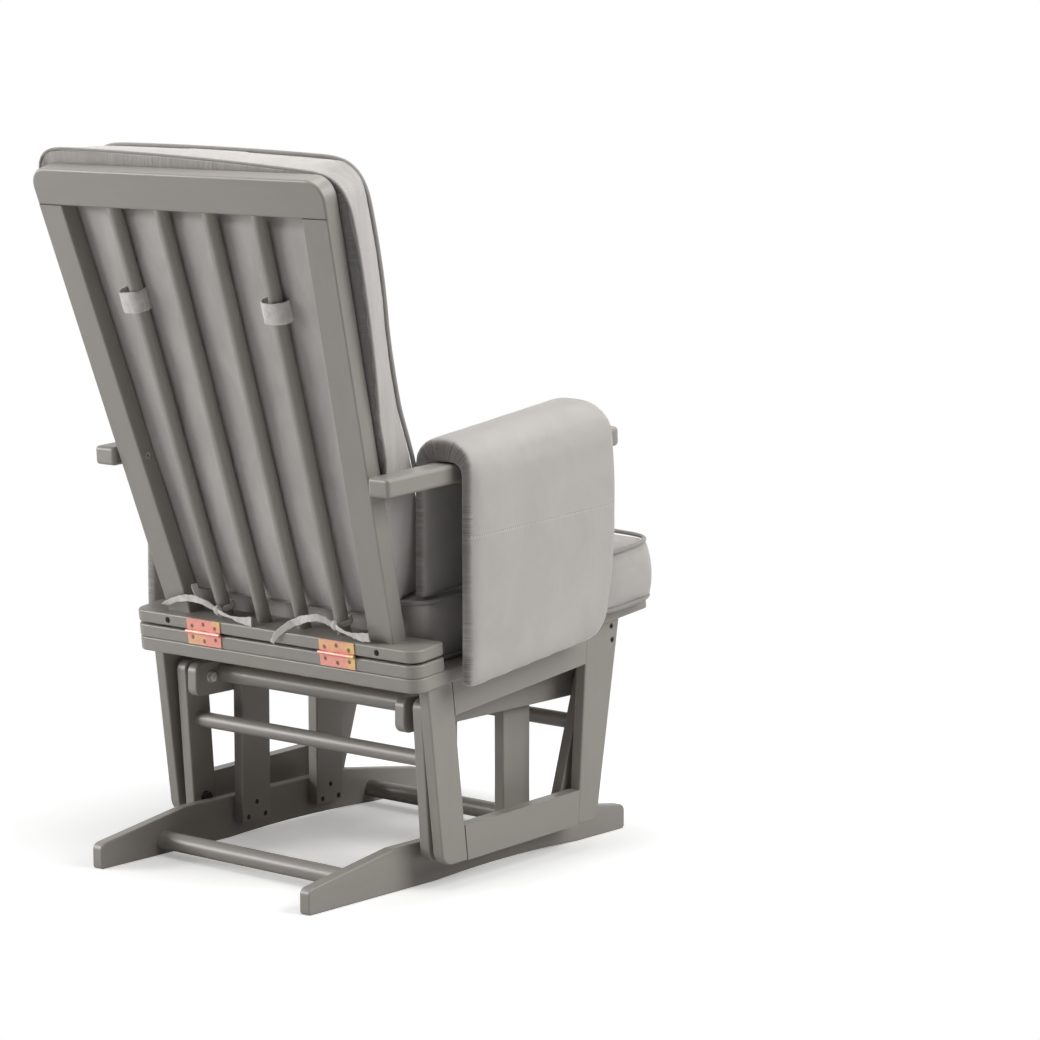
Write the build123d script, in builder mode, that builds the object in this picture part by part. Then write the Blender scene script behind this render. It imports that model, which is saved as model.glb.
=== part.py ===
from build123d import *
import math
import os

# Glider nursery chair. Millimetres, +Z up, floor at z = 0, front towards -Y, sitter's left towards +X.
# Four bodies: a floor base, a pair of rear links, a pair of front links, and a seat that hangs from
# the links, with a back hinged on its rear edge.

os.makedirs("parts", exist_ok=True)

SIDES = (("left", 1), ("right", -1))

# ---------------------------------------------------------------- driving sizes: base
board = 18.0            # flat boards of the base and the side frames
ease = 2.5              # rounding of the long edges of a board
runner_length = 663.0
runner_rear = 313.0     # y of the rear tip of a runner
runner_height = 60.0
runner_tip_height = 35.0
runner_nose = 10.0      # rounding of a tip, top; the foot of the tip has half of it
runner_rise = 166.0     # from a tip to the full height
runner_arch = 4.5       # relief under the middle of a runner
runner_foot = 252.0     # length that stands on the floor at the rear end
runner_toe = 106.0      # length that stands on the floor at the front end
rail_inner = 188.0      # x of the inner faces of runners and hanger rails
hanger_bottom = 213.5
hanger_height = 48.0
hanger_overhang = 28.5  # hanger rail beyond each upper pivot
upright_width = 57.0
upright_y = (24.0, -130.0)
upright_foot = 22.0
floor_dowel_dia = 26.0
floor_dowel_y = (193.0, -238.0)
floor_dowel_z = (21.0, 22.0)
socket_wall = 2.0       # wood left at the blind end of a dowel socket
dowel_shoulder = 5.0    # turned off each side of a dowel for its tenon
hanger_dowel_y = 73.0
hanger_dowel_z = 243.0

# ---------------------------------------------------------------- driving sizes: linkage
pivot_z = 240.0         # height of the upper pivots
pivot_rear_y = 97.0
pivot_span = 341.0      # between the upper pivots of one side
coupler_span = 273.6    # between the lower pivots of one side
link_length = 180.0     # pivot to pivot
rear_lean = 4.3         # lean of the rear links at rest, foot forwards
link_width = 45.0
link_end = 23.0         # link beyond each pivot
link_gap = 9.0          # running gap on each face of a link, filled by the bush collars
link_stretcher_dia = 22.0
link_stretcher_drop = 65.0
pivot_bolt_dia = 8.0
pivot_clear = 0.06      # radial play of a bolt in its bush
open_pivot_clear = 2.4  # radial play at the lower front pivots, where the loop of links is opened
bush_dia = 15.0
collar_dia = 24.0
face_gap = 0.3          # between a bush collar and the board beside it

# ---------------------------------------------------------------- driving sizes: seat
seat_tilt = 6.3
deck_rear_y = 165.0     # lower rear edge of the seat deck
deck_rear_z = 280.0
deck_length = 494.0
deck_half = 267.0
deck_board = 20.0
deck_rail_depth = 60.0  # front and rear boards of the deck, and the two rails above the rear one
deck_side_width = 45.0
deck_corner = 20.0
deck_front_corner = 8.0
hinge_rail_height = 18.5
hinge_slot = 3.0        # open slot between the hinge rail and the foot rail of the back
foot_rail_height = 17.5
seat_slat_count = 4
seat_slat_width = 55.0
seat_slat_height = 12.0
rear_leg_width = 49.0
rear_leg_lean = 7.2
front_leg_foot = 42.0
front_leg_head = 71.0
front_leg_lean = 9.7
rear_leg_heel = 26.5    # rear edge of a rear leg behind its pivot
front_leg_toe = 34.0    # front edge of a front leg ahead of its pivot
pivot_bore = 16.0       # depth of the bolt hole in a leg
side_rail_height = 49.0
leg_corner = 20.0

# ---------------------------------------------------------------- driving sizes: back
back_lean = 17.45
back_set = 18.0         # posts set in from the rear edge of the foot rail
post_width = 45.0
post_depth = 26.0
post_foot_half = 213.4  # half width over the posts at the foot rail
fan_angle = 5.14        # each post spreads outwards by this much
back_height = 601.0     # foot rail to the lower edge of the top rail, along the back
top_rail_height = 52.5
top_rail_corner = 27.0
slat_dia = 20.0
slat_tenon_dia = 12.0
slat_tenon = 10.0
slat_count = 4
slat_foot_pitch = 74.6
slat_head_pitch = 89.2

# ---------------------------------------------------------------- driving sizes: arms
arm_inner = 237.5
arm_width = 38.0
arm_height = 26.0
arm_tilt = 3.0
arm_rear_y = 230.0
arm_rear_z = 549.0      # underside of the arm at its rear end
arm_length = 486.0
arm_post_width = 50.0
arm_post_y = -150.0
arm_post_board = 22.0
arm_bolt_rise = 13.0
barrel_dia = 9.0        # barrel nut of an arm bolt, let into the back post
foot_bolt_half = 197.5  # counterbores on the rear face of the foot rail
foot_bolt_dia = 9.0

# ---------------------------------------------------------------- driving sizes: hinges and screws
hinge_x = 126.0
hinge_length = 64.0
hinge_leaf = 18.0
hinge_sheet = 1.5
knuckle_dia = 5.6
hinge_pin_dia = 3.0
hinge_play = 0.05
hinge_screw_dia = 3.0
hinge_screw_head = 6.4
hinge_screw_length = 13.0
screw_dia = 4.0
screw_head_dia = 8.0
screw_sink = 0.8
leg_screw_offsets = ((18.0, 11.5), (16.0, 31.0))    # inwards from, and below, the head of a front leg

# ---------------------------------------------------------------- driving sizes: soft goods
soft_gap = 0.8
seat_pad_height = 84.0
seat_pad_waist = 234.0  # half width between the arm posts
seat_ear_half = 284.0   # half width over the ears, in front of the arm posts
seat_corner_inset = 485.0
seat_bow_inset = 509.0
seat_corner = 32.0
back_pad_depth = 91.0
back_pad_droop = 17.0   # how far the back cushion hangs down behind the seat cushion
pad_rear_y = 107.0
pad_length = 302.0
pad_cloth = 20.5
pad_stand_off = 12.0    # between an arm and each flap of its pad
pad_outer_foot = (283.0, 320.0)     # height of the outer flap at its rear and its front
pad_inner_foot = (394.0, 427.5)
pad_top = (612.0, 642.0)
pad_corner = 45.0
pad_nose = 40.0         # rounding of the top front corner in side view
pad_shoulder = 34.0
strap_cloth = 2.0
loop_width = 24.0
loop_s = 455.0          # height of the loops up the back
tie_s = 8.0
tape_width = 13.0

# ---------------------------------------------------------------- worked out: base and linkage
rail_outer = rail_inner + board
upright_inner = rail_inner - board
hanger_top = hanger_bottom + hanger_height
runner_front = runner_rear - runner_length
link_inner = rail_outer + link_gap
link_outer = link_inner + board
frame_inner = link_outer + link_gap
frame_outer = frame_inner + board
pivot_front_y = pivot_rear_y - pivot_span


def swing_point(y, z, length, lean):
    """Lower end of a bar hung from (y, z); a positive lean carries the foot forwards (-Y)."""
    angle = math.radians(lean)
    return (y - length * math.sin(angle), z - length * math.cos(angle))


lower_rear = swing_point(pivot_rear_y, pivot_z, link_length, rear_lean)
# The lower front pivot lies a link away from the upper front pivot and a coupler span away from lower_rear.
run_y = pivot_front_y - lower_rear[0]
run_z = pivot_z - lower_rear[1]
run = math.hypot(run_y, run_z)
along = (coupler_span**2 - link_length**2 + run**2) / (2 * run)
aside = math.sqrt(coupler_span**2 - along**2)
lower_front = (
    lower_rear[0] + (along * run_y - aside * -run_z) / run,
    lower_rear[1] + (along * run_z - aside * run_y) / run,
)
if lower_front[1] > pivot_z:
    lower_front = (
        lower_rear[0] + (along * run_y + aside * -run_z) / run,
        lower_rear[1] + (along * run_z + aside * run_y) / run,
    )
front_lean = math.degrees(math.atan2(pivot_front_y - lower_front[0], pivot_z - lower_front[1]))
coupler_tilt = math.degrees(math.atan2(lower_front[1] - lower_rear[1], lower_rear[0] - lower_front[0]))

# ---------------------------------------------------------------- worked out: seat and back
tilt = math.radians(seat_tilt)
deck_normal = (0, math.sin(tilt), math.cos(tilt))
hinge_rail_top = deck_board + hinge_rail_height
foot_rail_bottom = hinge_rail_top + hinge_slot
foot_rail_top = foot_rail_bottom + foot_rail_height
lean = math.radians(back_lean)
back_normal = (0, -math.cos(lean), math.sin(lean))


def side_plane(x):
    """Upright plane across X: local x runs along +Y, local y along +Z, the normal along +X."""
    return Plane(origin=(x, 0, 0), x_dir=(0, 1, 0), z_dir=(1, 0, 0))


def deck_plane(height=0.0, inset=0.0):
    """Plane of the tilted deck, `height` over its underside, its origin `inset` in from the rear edge."""
    y = deck_rear_y + height * math.sin(tilt) - inset * math.cos(tilt)
    z = deck_rear_z + height * math.cos(tilt) + inset * math.sin(tilt)
    return Plane(origin=(0, y, z), x_dir=(1, 0, 0), z_dir=deck_normal)


back_origin = deck_plane(foot_rail_top, back_set).origin


def back_plane(depth=0.0):
    """Plane of the leaning back, `depth` in front of the rear faces of the posts."""
    return Plane(origin=back_origin + Vector(*back_normal) * depth, x_dir=(1, 0, 0), z_dir=back_normal)


def under_deck(y):
    """Height of the underside of the deck over the floor at y."""
    return deck_rear_z + (deck_rear_y - y) * math.tan(tilt)


def near_face(sign, inner, outer):
    """The smaller x of a board that lies between two distances from the middle, on one side."""
    return inner if sign > 0 else -outer


def save(piece, name):
    piece.part.label = name
    export_step(piece.part, f"parts/{name}.step")


# ================================================================ base
bolt_ys = (pivot_rear_y, pivot_front_y)
screw_offsets = ((0.0, 12.0), (-17.0, -8.0), (17.0, -8.0))
screw_levels = (upright_foot + 15, hanger_top - hanger_height / 2)

for side, sign in SIDES:
    with BuildPart() as runner:
        with BuildSketch(side_plane(near_face(sign, rail_inner, rail_outer))) as outline:
            with BuildLine():
                Polyline(
                    (runner_rear, 0),
                    (runner_rear, runner_tip_height),
                    (runner_rear - runner_rise, runner_height),
                    (runner_front + runner_rise, runner_height),
                    (runner_front, runner_tip_height),
                    (runner_front, 0),
                    (runner_front + runner_toe, 0),
                )
                ThreePointArc(
                    (runner_front + runner_toe, 0),
                    ((runner_front + runner_toe + runner_rear - runner_foot) / 2, runner_arch),
                    (runner_rear - runner_foot, 0),
                )
                Line((runner_rear - runner_foot, 0), (runner_rear, 0))
            make_face()
            for corner in ((runner_rear, runner_tip_height), (runner_front, runner_tip_height)):
                fillet(outline.vertices().sort_by_distance(Vector(*corner))[0], radius=runner_nose)
            for corner in ((runner_rear, 0), (runner_front, 0)):
                fillet(outline.vertices().sort_by_distance(Vector(*corner))[0], radius=runner_nose / 2)
        extrude(amount=board)
        fillet(runner.faces().filter_by(Axis.X).edges(), radius=ease)
        with BuildSketch(side_plane(sign * rail_inner)):
            with Locations(*zip(floor_dowel_y, floor_dowel_z)):
                Circle(floor_dowel_dia / 2 - dowel_shoulder)
        extrude(amount=sign * (board - socket_wall), mode=Mode.SUBTRACT)
    save(runner, f"runner_{side}")

    with BuildPart() as hanger:
        with BuildSketch(side_plane(near_face(sign, rail_inner, rail_outer))):
            with Locations(((pivot_rear_y + pivot_front_y) / 2, hanger_bottom + hanger_height / 2)):
                RectangleRounded(pivot_span + 2 * hanger_overhang, hanger_height, 13)
        extrude(amount=board)
        fillet(hanger.faces().filter_by(Axis.X).edges(), radius=ease)
        with BuildSketch(side_plane(near_face(sign, rail_inner, rail_outer))):
            with Locations(*[(y, pivot_z) for y in bolt_ys]):
                Circle(pivot_bolt_dia / 2)
        extrude(amount=board, mode=Mode.SUBTRACT)
        with BuildSketch(side_plane(sign * rail_inner)):
            with Locations((hanger_dowel_y, hanger_dowel_z)):
                Circle(floor_dowel_dia / 2 - dowel_shoulder)
        extrude(amount=sign * (board - socket_wall), mode=Mode.SUBTRACT)
    save(hanger, f"hanger_rail_{side}")

    for place, upright_mid in zip(("rear", "front"), upright_y):
        inner_face = side_plane(near_face(sign, upright_inner, rail_inner))
        with BuildPart() as upright:
            with BuildSketch(inner_face):
                with Locations((upright_mid, (upright_foot + hanger_top) / 2)):
                    Rectangle(upright_width, hanger_top - upright_foot)
            extrude(amount=board)
            fillet(upright.edges().filter_by(Axis.Z), radius=ease)
            for level in screw_levels:
                spots = [(upright_mid + y, level + z) for y, z in screw_offsets]
                with BuildSketch(side_plane(sign * upright_inner)):
                    with Locations(*spots):
                        Circle(screw_head_dia / 2)
                extrude(amount=sign * 4, mode=Mode.SUBTRACT)
                with BuildSketch(inner_face):
                    with Locations(*spots):
                        Circle(screw_dia / 2)
                extrude(amount=board, mode=Mode.SUBTRACT)
        save(upright, f"upright_{place}_{side}")


def dowel_between(y, z, half, diameter):
    """A round stretcher across the chair, with a turned-down tenon on each end."""
    tenon = board - socket_wall
    tenon_dia = diameter - 2 * dowel_shoulder
    with BuildPart() as dowel:
        with BuildSketch(side_plane(-half)):
            with Locations((y, z)):
                Circle(diameter / 2)
        extrude(amount=2 * half)
        with BuildSketch(side_plane(-half - tenon)):
            with Locations((y, z)):
                Circle(tenon_dia / 2)
        extrude(amount=2 * (half + tenon))
    return dowel


for place, y, z in zip(("rear", "front"), floor_dowel_y, floor_dowel_z):
    save(dowel_between(y, z, rail_inner, floor_dowel_dia), f"floor_stretcher_{place}")
save(dowel_between(hanger_dowel_y, hanger_dowel_z, rail_inner, floor_dowel_dia), "hanger_stretcher")


def bolt_set(centres, start, reach, nut=0.0):
    """Hexagon bolts on both sides: heads and washers inboard of `start`, shanks out to `start + reach`."""
    washer = 1.5
    head = 5.5
    with BuildPart() as bolts:
        for inset, radius, amount in (
            (washer, pivot_bolt_dia, washer),
            (0.5, pivot_bolt_dia / 2, reach + 0.5),
        ):
            with BuildSketch(side_plane(start - inset)):
                with Locations(*centres):
                    Circle(radius)
            extrude(amount=amount)
        with BuildSketch(side_plane(start - washer - head)):
            with Locations(*centres):
                RegularPolygon(6.5, 6, major_radius=False)
        extrude(amount=head)
        if nut:
            with BuildSketch(side_plane(start + reach - nut)):
                with Locations(*centres):
                    RegularPolygon(6.5, 6, major_radius=False)
            extrude(amount=nut)
        mirror(about=Plane.YZ)
    return bolts


upper_bolts = bolt_set([(y, pivot_z) for y in bolt_ys], rail_inner, link_outer - rail_inner + 7.5, nut=6.5)
save(upper_bolts, "upper_pivot_bolts")


def screw_set(spots, face, length):
    """Countersunk-head screws on both sides, heads just inside x = `face`; a negative length drives inboard."""
    inwards = -1 if length < 0 else 1
    with BuildPart() as screws:
        for radius, amount in ((screw_head_dia / 2, 3.2), (screw_dia / 2, abs(length) - screw_sink)):
            with BuildSketch(side_plane(face + inwards * screw_sink)):
                with Locations(*spots):
                    Circle(radius)
            extrude(amount=inwards * amount)
        with BuildSketch(side_plane(face + inwards * screw_sink)):
            with Locations(*spots):
                RegularPolygon(1.9, 6)
        extrude(amount=inwards * 2, mode=Mode.SUBTRACT)
        mirror(about=Plane.YZ)
    return screws


upright_spots = [
    (upright_mid + y, level + z)
    for upright_mid in upright_y
    for level in screw_levels
    for y, z in screw_offsets
]
save(screw_set(upright_spots, upright_inner, board - 1), "base_screws")

# ================================================================ links
link_sets = (
    ("rear", (pivot_rear_y, pivot_z), lower_rear, rear_lean, pivot_clear),
    ("front", (pivot_front_y, pivot_z), lower_front, front_lean, open_pivot_clear),
)

for place, upper, lower, angle, play in link_sets:
    middle = ((upper[0] + lower[0]) / 2, (upper[1] + lower[1]) / 2)
    stretcher_at = swing_point(*upper, link_stretcher_drop, angle)
    for side, sign in SIDES:
        link_face = side_plane(near_face(sign, link_inner, link_outer))
        with BuildPart() as link:
            with BuildSketch(link_face):
                with Locations(Location((middle[0], middle[1]), -angle)):
                    RectangleRounded(link_width, link_length + 2 * link_end, 14)
            extrude(amount=board)
            fillet(link.faces().filter_by(Axis.X).edges(), radius=ease)
            with BuildSketch(link_face):
                with Locations(upper, lower):
                    Circle(bush_dia / 2)
            extrude(amount=board, mode=Mode.SUBTRACT)
            with BuildSketch(side_plane(sign * link_inner)):
                with Locations(stretcher_at):
                    Circle(link_stretcher_dia / 2 - dowel_shoulder)
            extrude(amount=sign * (board - socket_wall), mode=Mode.SUBTRACT)
        save(link, f"{place}_link_{side}")

    save(dowel_between(*stretcher_at, link_inner, link_stretcher_dia), f"{place}_link_stretcher")

    with BuildPart() as bushes:
        for centre, clear, collar_x in (
            (upper, pivot_clear, rail_outer + face_gap),
            (lower, play, link_outer),
        ):
            with BuildSketch(side_plane(link_inner)):
                with Locations(centre):
                    Circle(bush_dia / 2)
            extrude(amount=board)
            with BuildSketch(side_plane(collar_x)):
                with Locations(centre):
                    Circle(collar_dia / 2)
            extrude(amount=link_gap - face_gap)
            with BuildSketch(side_plane(rail_outer)):
                with Locations(centre):
                    Circle(pivot_bolt_dia / 2 + clear)
            extrude(amount=frame_inner - rail_outer, mode=Mode.SUBTRACT)
        mirror(about=Plane.YZ)
    save(bushes, f"{place}_link_bushes")

# ================================================================ side frames
rear_slope = math.tan(math.radians(rear_leg_lean))
front_slope = math.tan(math.radians(front_leg_lean))
rail_slope = math.tan(math.radians(coupler_tilt))


def side_rail(y, offset):
    """Height of a line parallel to the two lower pivots, `offset` over them, at y."""
    return lower_rear[1] + offset + (lower_rear[0] - y) * rail_slope


def meet(y0, z0, slope, height_at):
    """Where an edge through (y0, z0) that moves `slope` mm forwards per mm down meets a height line."""
    y = y0
    for _ in range(30):
        y = y0 - (z0 - height_at(y)) * slope
    return (y, height_at(y))


leg_head_rear, head_z_rear = meet(lower_rear[0] + rear_leg_heel, lower_rear[1], rear_slope, under_deck)
leg_head_front, head_z_front = meet(lower_front[0] - front_leg_toe, lower_front[1], -front_slope, under_deck)
low = lambda y: side_rail(y, -side_rail_height / 2)
high = lambda y: side_rail(y, side_rail_height / 2)
rail_level = lambda y: under_deck(y) - side_rail_height

rear_outer_foot = meet(leg_head_rear, head_z_rear, rear_slope, low)
rear_span = rear_leg_width / math.cos(math.radians(rear_leg_lean))
rear_inner_foot = meet(leg_head_rear - rear_span, head_z_rear, rear_slope, low)
rear_inner_head = (leg_head_rear - rear_span, under_deck(leg_head_rear - rear_span))
front_outer_foot = meet(leg_head_front, head_z_front, -front_slope, low)
front_inner_foot = (front_outer_foot[0] + front_leg_foot, low(front_outer_foot[0] + front_leg_foot))
front_inner_head = (leg_head_front + front_leg_head, under_deck(leg_head_front + front_leg_head))
taper_slope = (front_inner_foot[0] - front_inner_head[0]) / (front_inner_head[1] - front_inner_foot[1])


def on_rear_edge(height_at):
    return meet(rear_inner_head[0], rear_inner_head[1], rear_slope, height_at)


def on_front_edge(height_at):
    return meet(front_inner_head[0], front_inner_head[1], -taper_slope, height_at)


leg_screws = [(leg_head_front + y, head_z_front - z) for y, z in leg_screw_offsets]

for side, sign in SIDES:
    frame_face = side_plane(near_face(sign, frame_inner, frame_outer))
    outer_face = side_plane(sign * frame_outer)
    with BuildPart() as rear_leg:
        with BuildSketch(frame_face) as outline:
            with BuildLine():
                Polyline(
                    (leg_head_rear, head_z_rear), rear_outer_foot, rear_inner_foot, rear_inner_head, close=True
                )
            make_face()
            fillet(outline.vertices().sort_by_distance(Vector(*rear_outer_foot))[0], radius=leg_corner)
        extrude(amount=board)
        fillet(rear_leg.edges().filter_by(GeomType.LINE).sort_by(SortBy.LENGTH)[-4:], radius=ease)
        with BuildSketch(side_plane(sign * frame_inner)):
            with Locations(lower_rear):
                Circle(pivot_bolt_dia / 2)
        extrude(amount=sign * pivot_bore, mode=Mode.SUBTRACT)
    save(rear_leg, f"rear_leg_{side}")

    with BuildPart() as front_leg:
        with BuildSketch(frame_face) as outline:
            with BuildLine():
                Polyline(
                    (leg_head_front, head_z_front), front_outer_foot, front_inner_foot, front_inner_head, close=True
                )
            make_face()
            fillet(outline.vertices().sort_by_distance(Vector(*front_outer_foot))[0], radius=leg_corner)
        extrude(amount=board)
        fillet(front_leg.edges().filter_by(GeomType.LINE).sort_by(SortBy.LENGTH)[-4:], radius=ease)
        with BuildSketch(side_plane(sign * frame_inner)):
            with Locations(lower_front):
                Circle(pivot_bolt_dia / 2)
        extrude(amount=sign * pivot_bore, mode=Mode.SUBTRACT)
        with BuildSketch(outer_face):
            with Locations(*leg_screws):
                Circle(screw_head_dia / 2)
        extrude(amount=-sign * 5, mode=Mode.SUBTRACT)
    save(front_leg, f"front_leg_{side}")

    with BuildPart() as lower_rail:
        with BuildSketch(frame_face):
            with BuildLine():
                Polyline(
                    on_rear_edge(low), on_rear_edge(high), on_front_edge(high), on_front_edge(low), close=True
                )
            make_face()
        extrude(amount=board)
    save(lower_rail, f"side_rail_lower_{side}")

    with BuildPart() as upper_rail:
        with BuildSketch(frame_face):
            with BuildLine():
                Polyline(
                    on_rear_edge(rail_level),
                    rear_inner_head,
                    front_inner_head,
                    on_front_edge(rail_level),
                    close=True,
                )
            make_face()
        extrude(amount=board)
    save(upper_rail, f"side_rail_upper_{side}")

save(screw_set(leg_screws, frame_outer, -5.0), "side_frame_screws")
save(bolt_set((lower_rear, lower_front), link_inner - face_gap, frame_inner + pivot_bore - link_inner), "lower_pivot_bolts")

# ================================================================ seat deck
inner_half = deck_half - deck_side_width


def deck_board_across(rear, depth, bottom, height, radius_rear, radius_front):
    """A board right across the deck; `rear` is measured forwards from the rear edge of the deck."""
    with BuildPart() as piece:
        with BuildSketch(deck_plane(bottom)) as plan:
            with Locations((0, -rear - depth / 2)):
                Rectangle(2 * deck_half, depth)
            if radius_front:
                fillet(plan.vertices().group_by(Axis.Y)[0], radius=radius_front)
            if radius_rear:
                fillet(plan.vertices().group_by(Axis.Y)[-1], radius=radius_rear)
        extrude(amount=height)
        rims = piece.faces().filter_by(lambda face: abs(face.normal_at().dot(Vector(*deck_normal))) > 0.99)
        fillet(rims.edges(), radius=ease)
    return piece


front_rail_at = deck_length - deck_rail_depth
def rear_face(height):
    """Upright plane on the rear face of the deck, facing backwards, local y up the slope of that face."""
    return Plane(
        origin=deck_plane(height).origin, x_dir=(-1, 0, 0), z_dir=(0, math.cos(tilt), -math.sin(tilt))
    )


hinge_axis = hinge_rail_top + hinge_slot / 2
hinge_set = knuckle_dia / 2 + 0.2
hinge_screws = ((-22.0, 6.5), (0.0, 10.5), (22.0, 6.5))


def hinge_spots(upper):
    """Screw places on the rear face for one row of leaves, measured from the hinge line."""
    rise = 1 if upper else -1
    return [(middle + x, rise * (y + hinge_slot / 2)) for middle in (-hinge_x, hinge_x) for x, y in hinge_screws]


save(deck_board_across(0, deck_rail_depth, 0, deck_board, deck_corner, 0), "deck_rear_board")
save(deck_board_across(front_rail_at, deck_rail_depth, 0, deck_board, 0, deck_front_corner), "deck_front_board")
with BuildPart() as hinge_rail:
    add(deck_board_across(0, deck_rail_depth, deck_board, hinge_rail_height, deck_corner, deck_front_corner).part)
    with BuildSketch(rear_face(hinge_axis)):
        with Locations(*hinge_spots(False)):
            Circle(hinge_screw_dia / 2)
    extrude(amount=-hinge_screw_length, mode=Mode.SUBTRACT)
save(hinge_rail, "hinge_rail")

slat_bay = deck_length - 2 * deck_rail_depth
slat_pitch = slat_bay / seat_slat_count
seat_slat_places = [-deck_rail_depth - slat_pitch * (n + 0.5) for n in range(seat_slat_count)]
slat_base = (deck_board - seat_slat_height) / 2
slat_housing = 12.0

for side, sign in SIDES:
    with BuildPart() as side_board:
        with BuildSketch(deck_plane()):
            with Locations((sign * (inner_half + deck_side_width / 2), -deck_length / 2)):
                Rectangle(deck_side_width, slat_bay)
        extrude(amount=deck_board)
        outer_edges = side_board.edges().filter_by(GeomType.LINE).group_by(SortBy.LENGTH)[-1].group_by(Axis.X)
        fillet(outer_edges[-1] if sign > 0 else outer_edges[0], radius=ease)
        with BuildSketch(deck_plane(slat_base)):
            with Locations(*[(sign * inner_half, y) for y in seat_slat_places]):
                Rectangle(2 * slat_housing, seat_slat_width)
        extrude(amount=seat_slat_height, mode=Mode.SUBTRACT)
    save(side_board, f"deck_side_board_{side}")

with BuildPart() as seat_slats:
    with BuildSketch(deck_plane(slat_base)):
        with Locations(*[(0, y) for y in seat_slat_places]):
            Rectangle(2 * (inner_half + slat_housing), seat_slat_width)
    extrude(amount=seat_slat_height)
save(seat_slats, "seat_slats")

# ================================================================ back
slope = math.tan(math.radians(fan_angle))
foot_cut = deck_plane(foot_rail_top)


def spread(s, foot_half):
    """Half width at a distance s up the back, for an edge that starts foot_half from the middle."""
    return foot_half + s * slope


foot_clear = post_foot_half - post_width
slat_places_across = [n - (slat_count - 1) / 2 for n in range(slat_count)]


def slat_point(place, s, depth=post_depth / 2):
    """Point on the middle line of a slat, s up the back; the slats fan out towards the top rail."""
    pitch = slat_foot_pitch + (slat_head_pitch - slat_foot_pitch) * s / back_height
    return back_plane(depth).from_local_coords((place * pitch, s, 0))


def slat_plane(place, s):
    """Plane across one slat, s up the back; its local x runs level across the chair."""
    direction = slat_point(place, back_height) - slat_point(place, 0)
    across = Vector(*back_normal).cross(direction) * -1
    return Plane(origin=slat_point(place, s), x_dir=across, z_dir=direction)


slat_foot = -2.0        # the slats enter the foot rail a little below the foot of the posts
with BuildPart() as foot_rail:
    with BuildSketch(deck_plane(foot_rail_bottom)) as plan:
        with Locations((0, -deck_rail_depth / 2)):
            Rectangle(2 * deck_half, deck_rail_depth)
        fillet(plan.vertices().group_by(Axis.Y)[0], radius=deck_front_corner)
        fillet(plan.vertices().group_by(Axis.Y)[-1], radius=deck_corner)
    extrude(amount=foot_rail_height)
    rims = foot_rail.faces().filter_by(lambda face: abs(face.normal_at().dot(Vector(*deck_normal))) > 0.99)
    fillet(rims.edges(), radius=ease)
    for place in slat_places_across:
        with BuildSketch(slat_plane(place, slat_foot - slat_tenon)):
            Circle(slat_tenon_dia / 2)
        extrude(amount=slat_tenon + 20, mode=Mode.SUBTRACT)
    with BuildSketch(rear_face(foot_rail_bottom + foot_rail_height / 2)):
        with Locations((-foot_bolt_half, 0), (foot_bolt_half, 0)):
            Circle(foot_bolt_dia / 2)
    extrude(amount=-14, mode=Mode.SUBTRACT)
    with BuildSketch(rear_face(hinge_axis)):
        with Locations(*hinge_spots(True)):
            Circle(hinge_screw_dia / 2)
    extrude(amount=-hinge_screw_length, mode=Mode.SUBTRACT)
save(foot_rail, "back_foot_rail")

bolt_s = (arm_rear_z + arm_bolt_rise - back_origin.Z) / math.cos(lean)
post_bolt = back_plane(post_depth / 2).from_local_coords((0, bolt_s, 0))
post_bolt_half = spread(bolt_s, post_foot_half)
for side, sign in SIDES:
    with BuildPart() as post:
        with BuildSketch(back_plane()) as outline:
            with BuildLine():
                Polyline(
                    (sign * spread(-30, foot_clear), -30),
                    (sign * spread(-30, post_foot_half), -30),
                    (sign * spread(back_height, post_foot_half), back_height),
                    (sign * spread(back_height, foot_clear), back_height),
                    close=True,
                )
            make_face()
        extrude(amount=post_depth)
        fillet(post.edges().filter_by(GeomType.LINE).sort_by(SortBy.LENGTH)[-4:], radius=ease)
        split(bisect_by=foot_cut, keep=Keep.TOP)
        with BuildSketch(side_plane(sign * foot_clear / 2)):
            with Locations((post_bolt.Y, post_bolt.Z)):
                Circle(barrel_dia / 2)
        extrude(amount=sign * post_foot_half, mode=Mode.SUBTRACT)
    save(post, f"back_post_{side}")

with BuildPart() as top_rail:
    with BuildSketch(back_plane()) as outline:
        with BuildLine():
            Polyline(
                (-spread(back_height, post_foot_half), back_height),
                (spread(back_height, post_foot_half), back_height),
                (spread(back_height + top_rail_height, post_foot_half), back_height + top_rail_height),
                (-spread(back_height + top_rail_height, post_foot_half), back_height + top_rail_height),
                close=True,
            )
        make_face()
        fillet(outline.vertices().group_by(Axis.Y)[-1], radius=top_rail_corner)
    extrude(amount=post_depth)
    broad = top_rail.faces().filter_by(lambda face: abs(face.normal_at().dot(Vector(*back_normal))) > 0.99)
    fillet(broad.edges(), radius=ease + 1)
    for place in slat_places_across:
        with BuildSketch(slat_plane(place, back_height - 10)):
            Circle(slat_tenon_dia / 2)
        extrude(amount=slat_tenon + 10, mode=Mode.SUBTRACT)
save(top_rail, "back_top_rail")

head_cut = Plane(origin=back_plane().from_local_coords((0, back_height, 0)), x_dir=(1, 0, 0), z_dir=back_plane().y_dir)
for number, place in enumerate(slat_places_across, start=1):
    with BuildPart() as slat:
        with BuildSketch(slat_plane(place, -30)):
            Circle(slat_dia / 2)
        extrude(amount=back_height + 60)
        split(bisect_by=foot_cut, keep=Keep.TOP)
        split(bisect_by=head_cut, keep=Keep.BOTTOM)
        with BuildSketch(slat_plane(place, slat_foot - slat_tenon)):
            Circle(slat_tenon_dia / 2)
        extrude(amount=back_height + 2 * slat_tenon - slat_foot)
    save(slat, f"back_slat_{number}")

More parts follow.
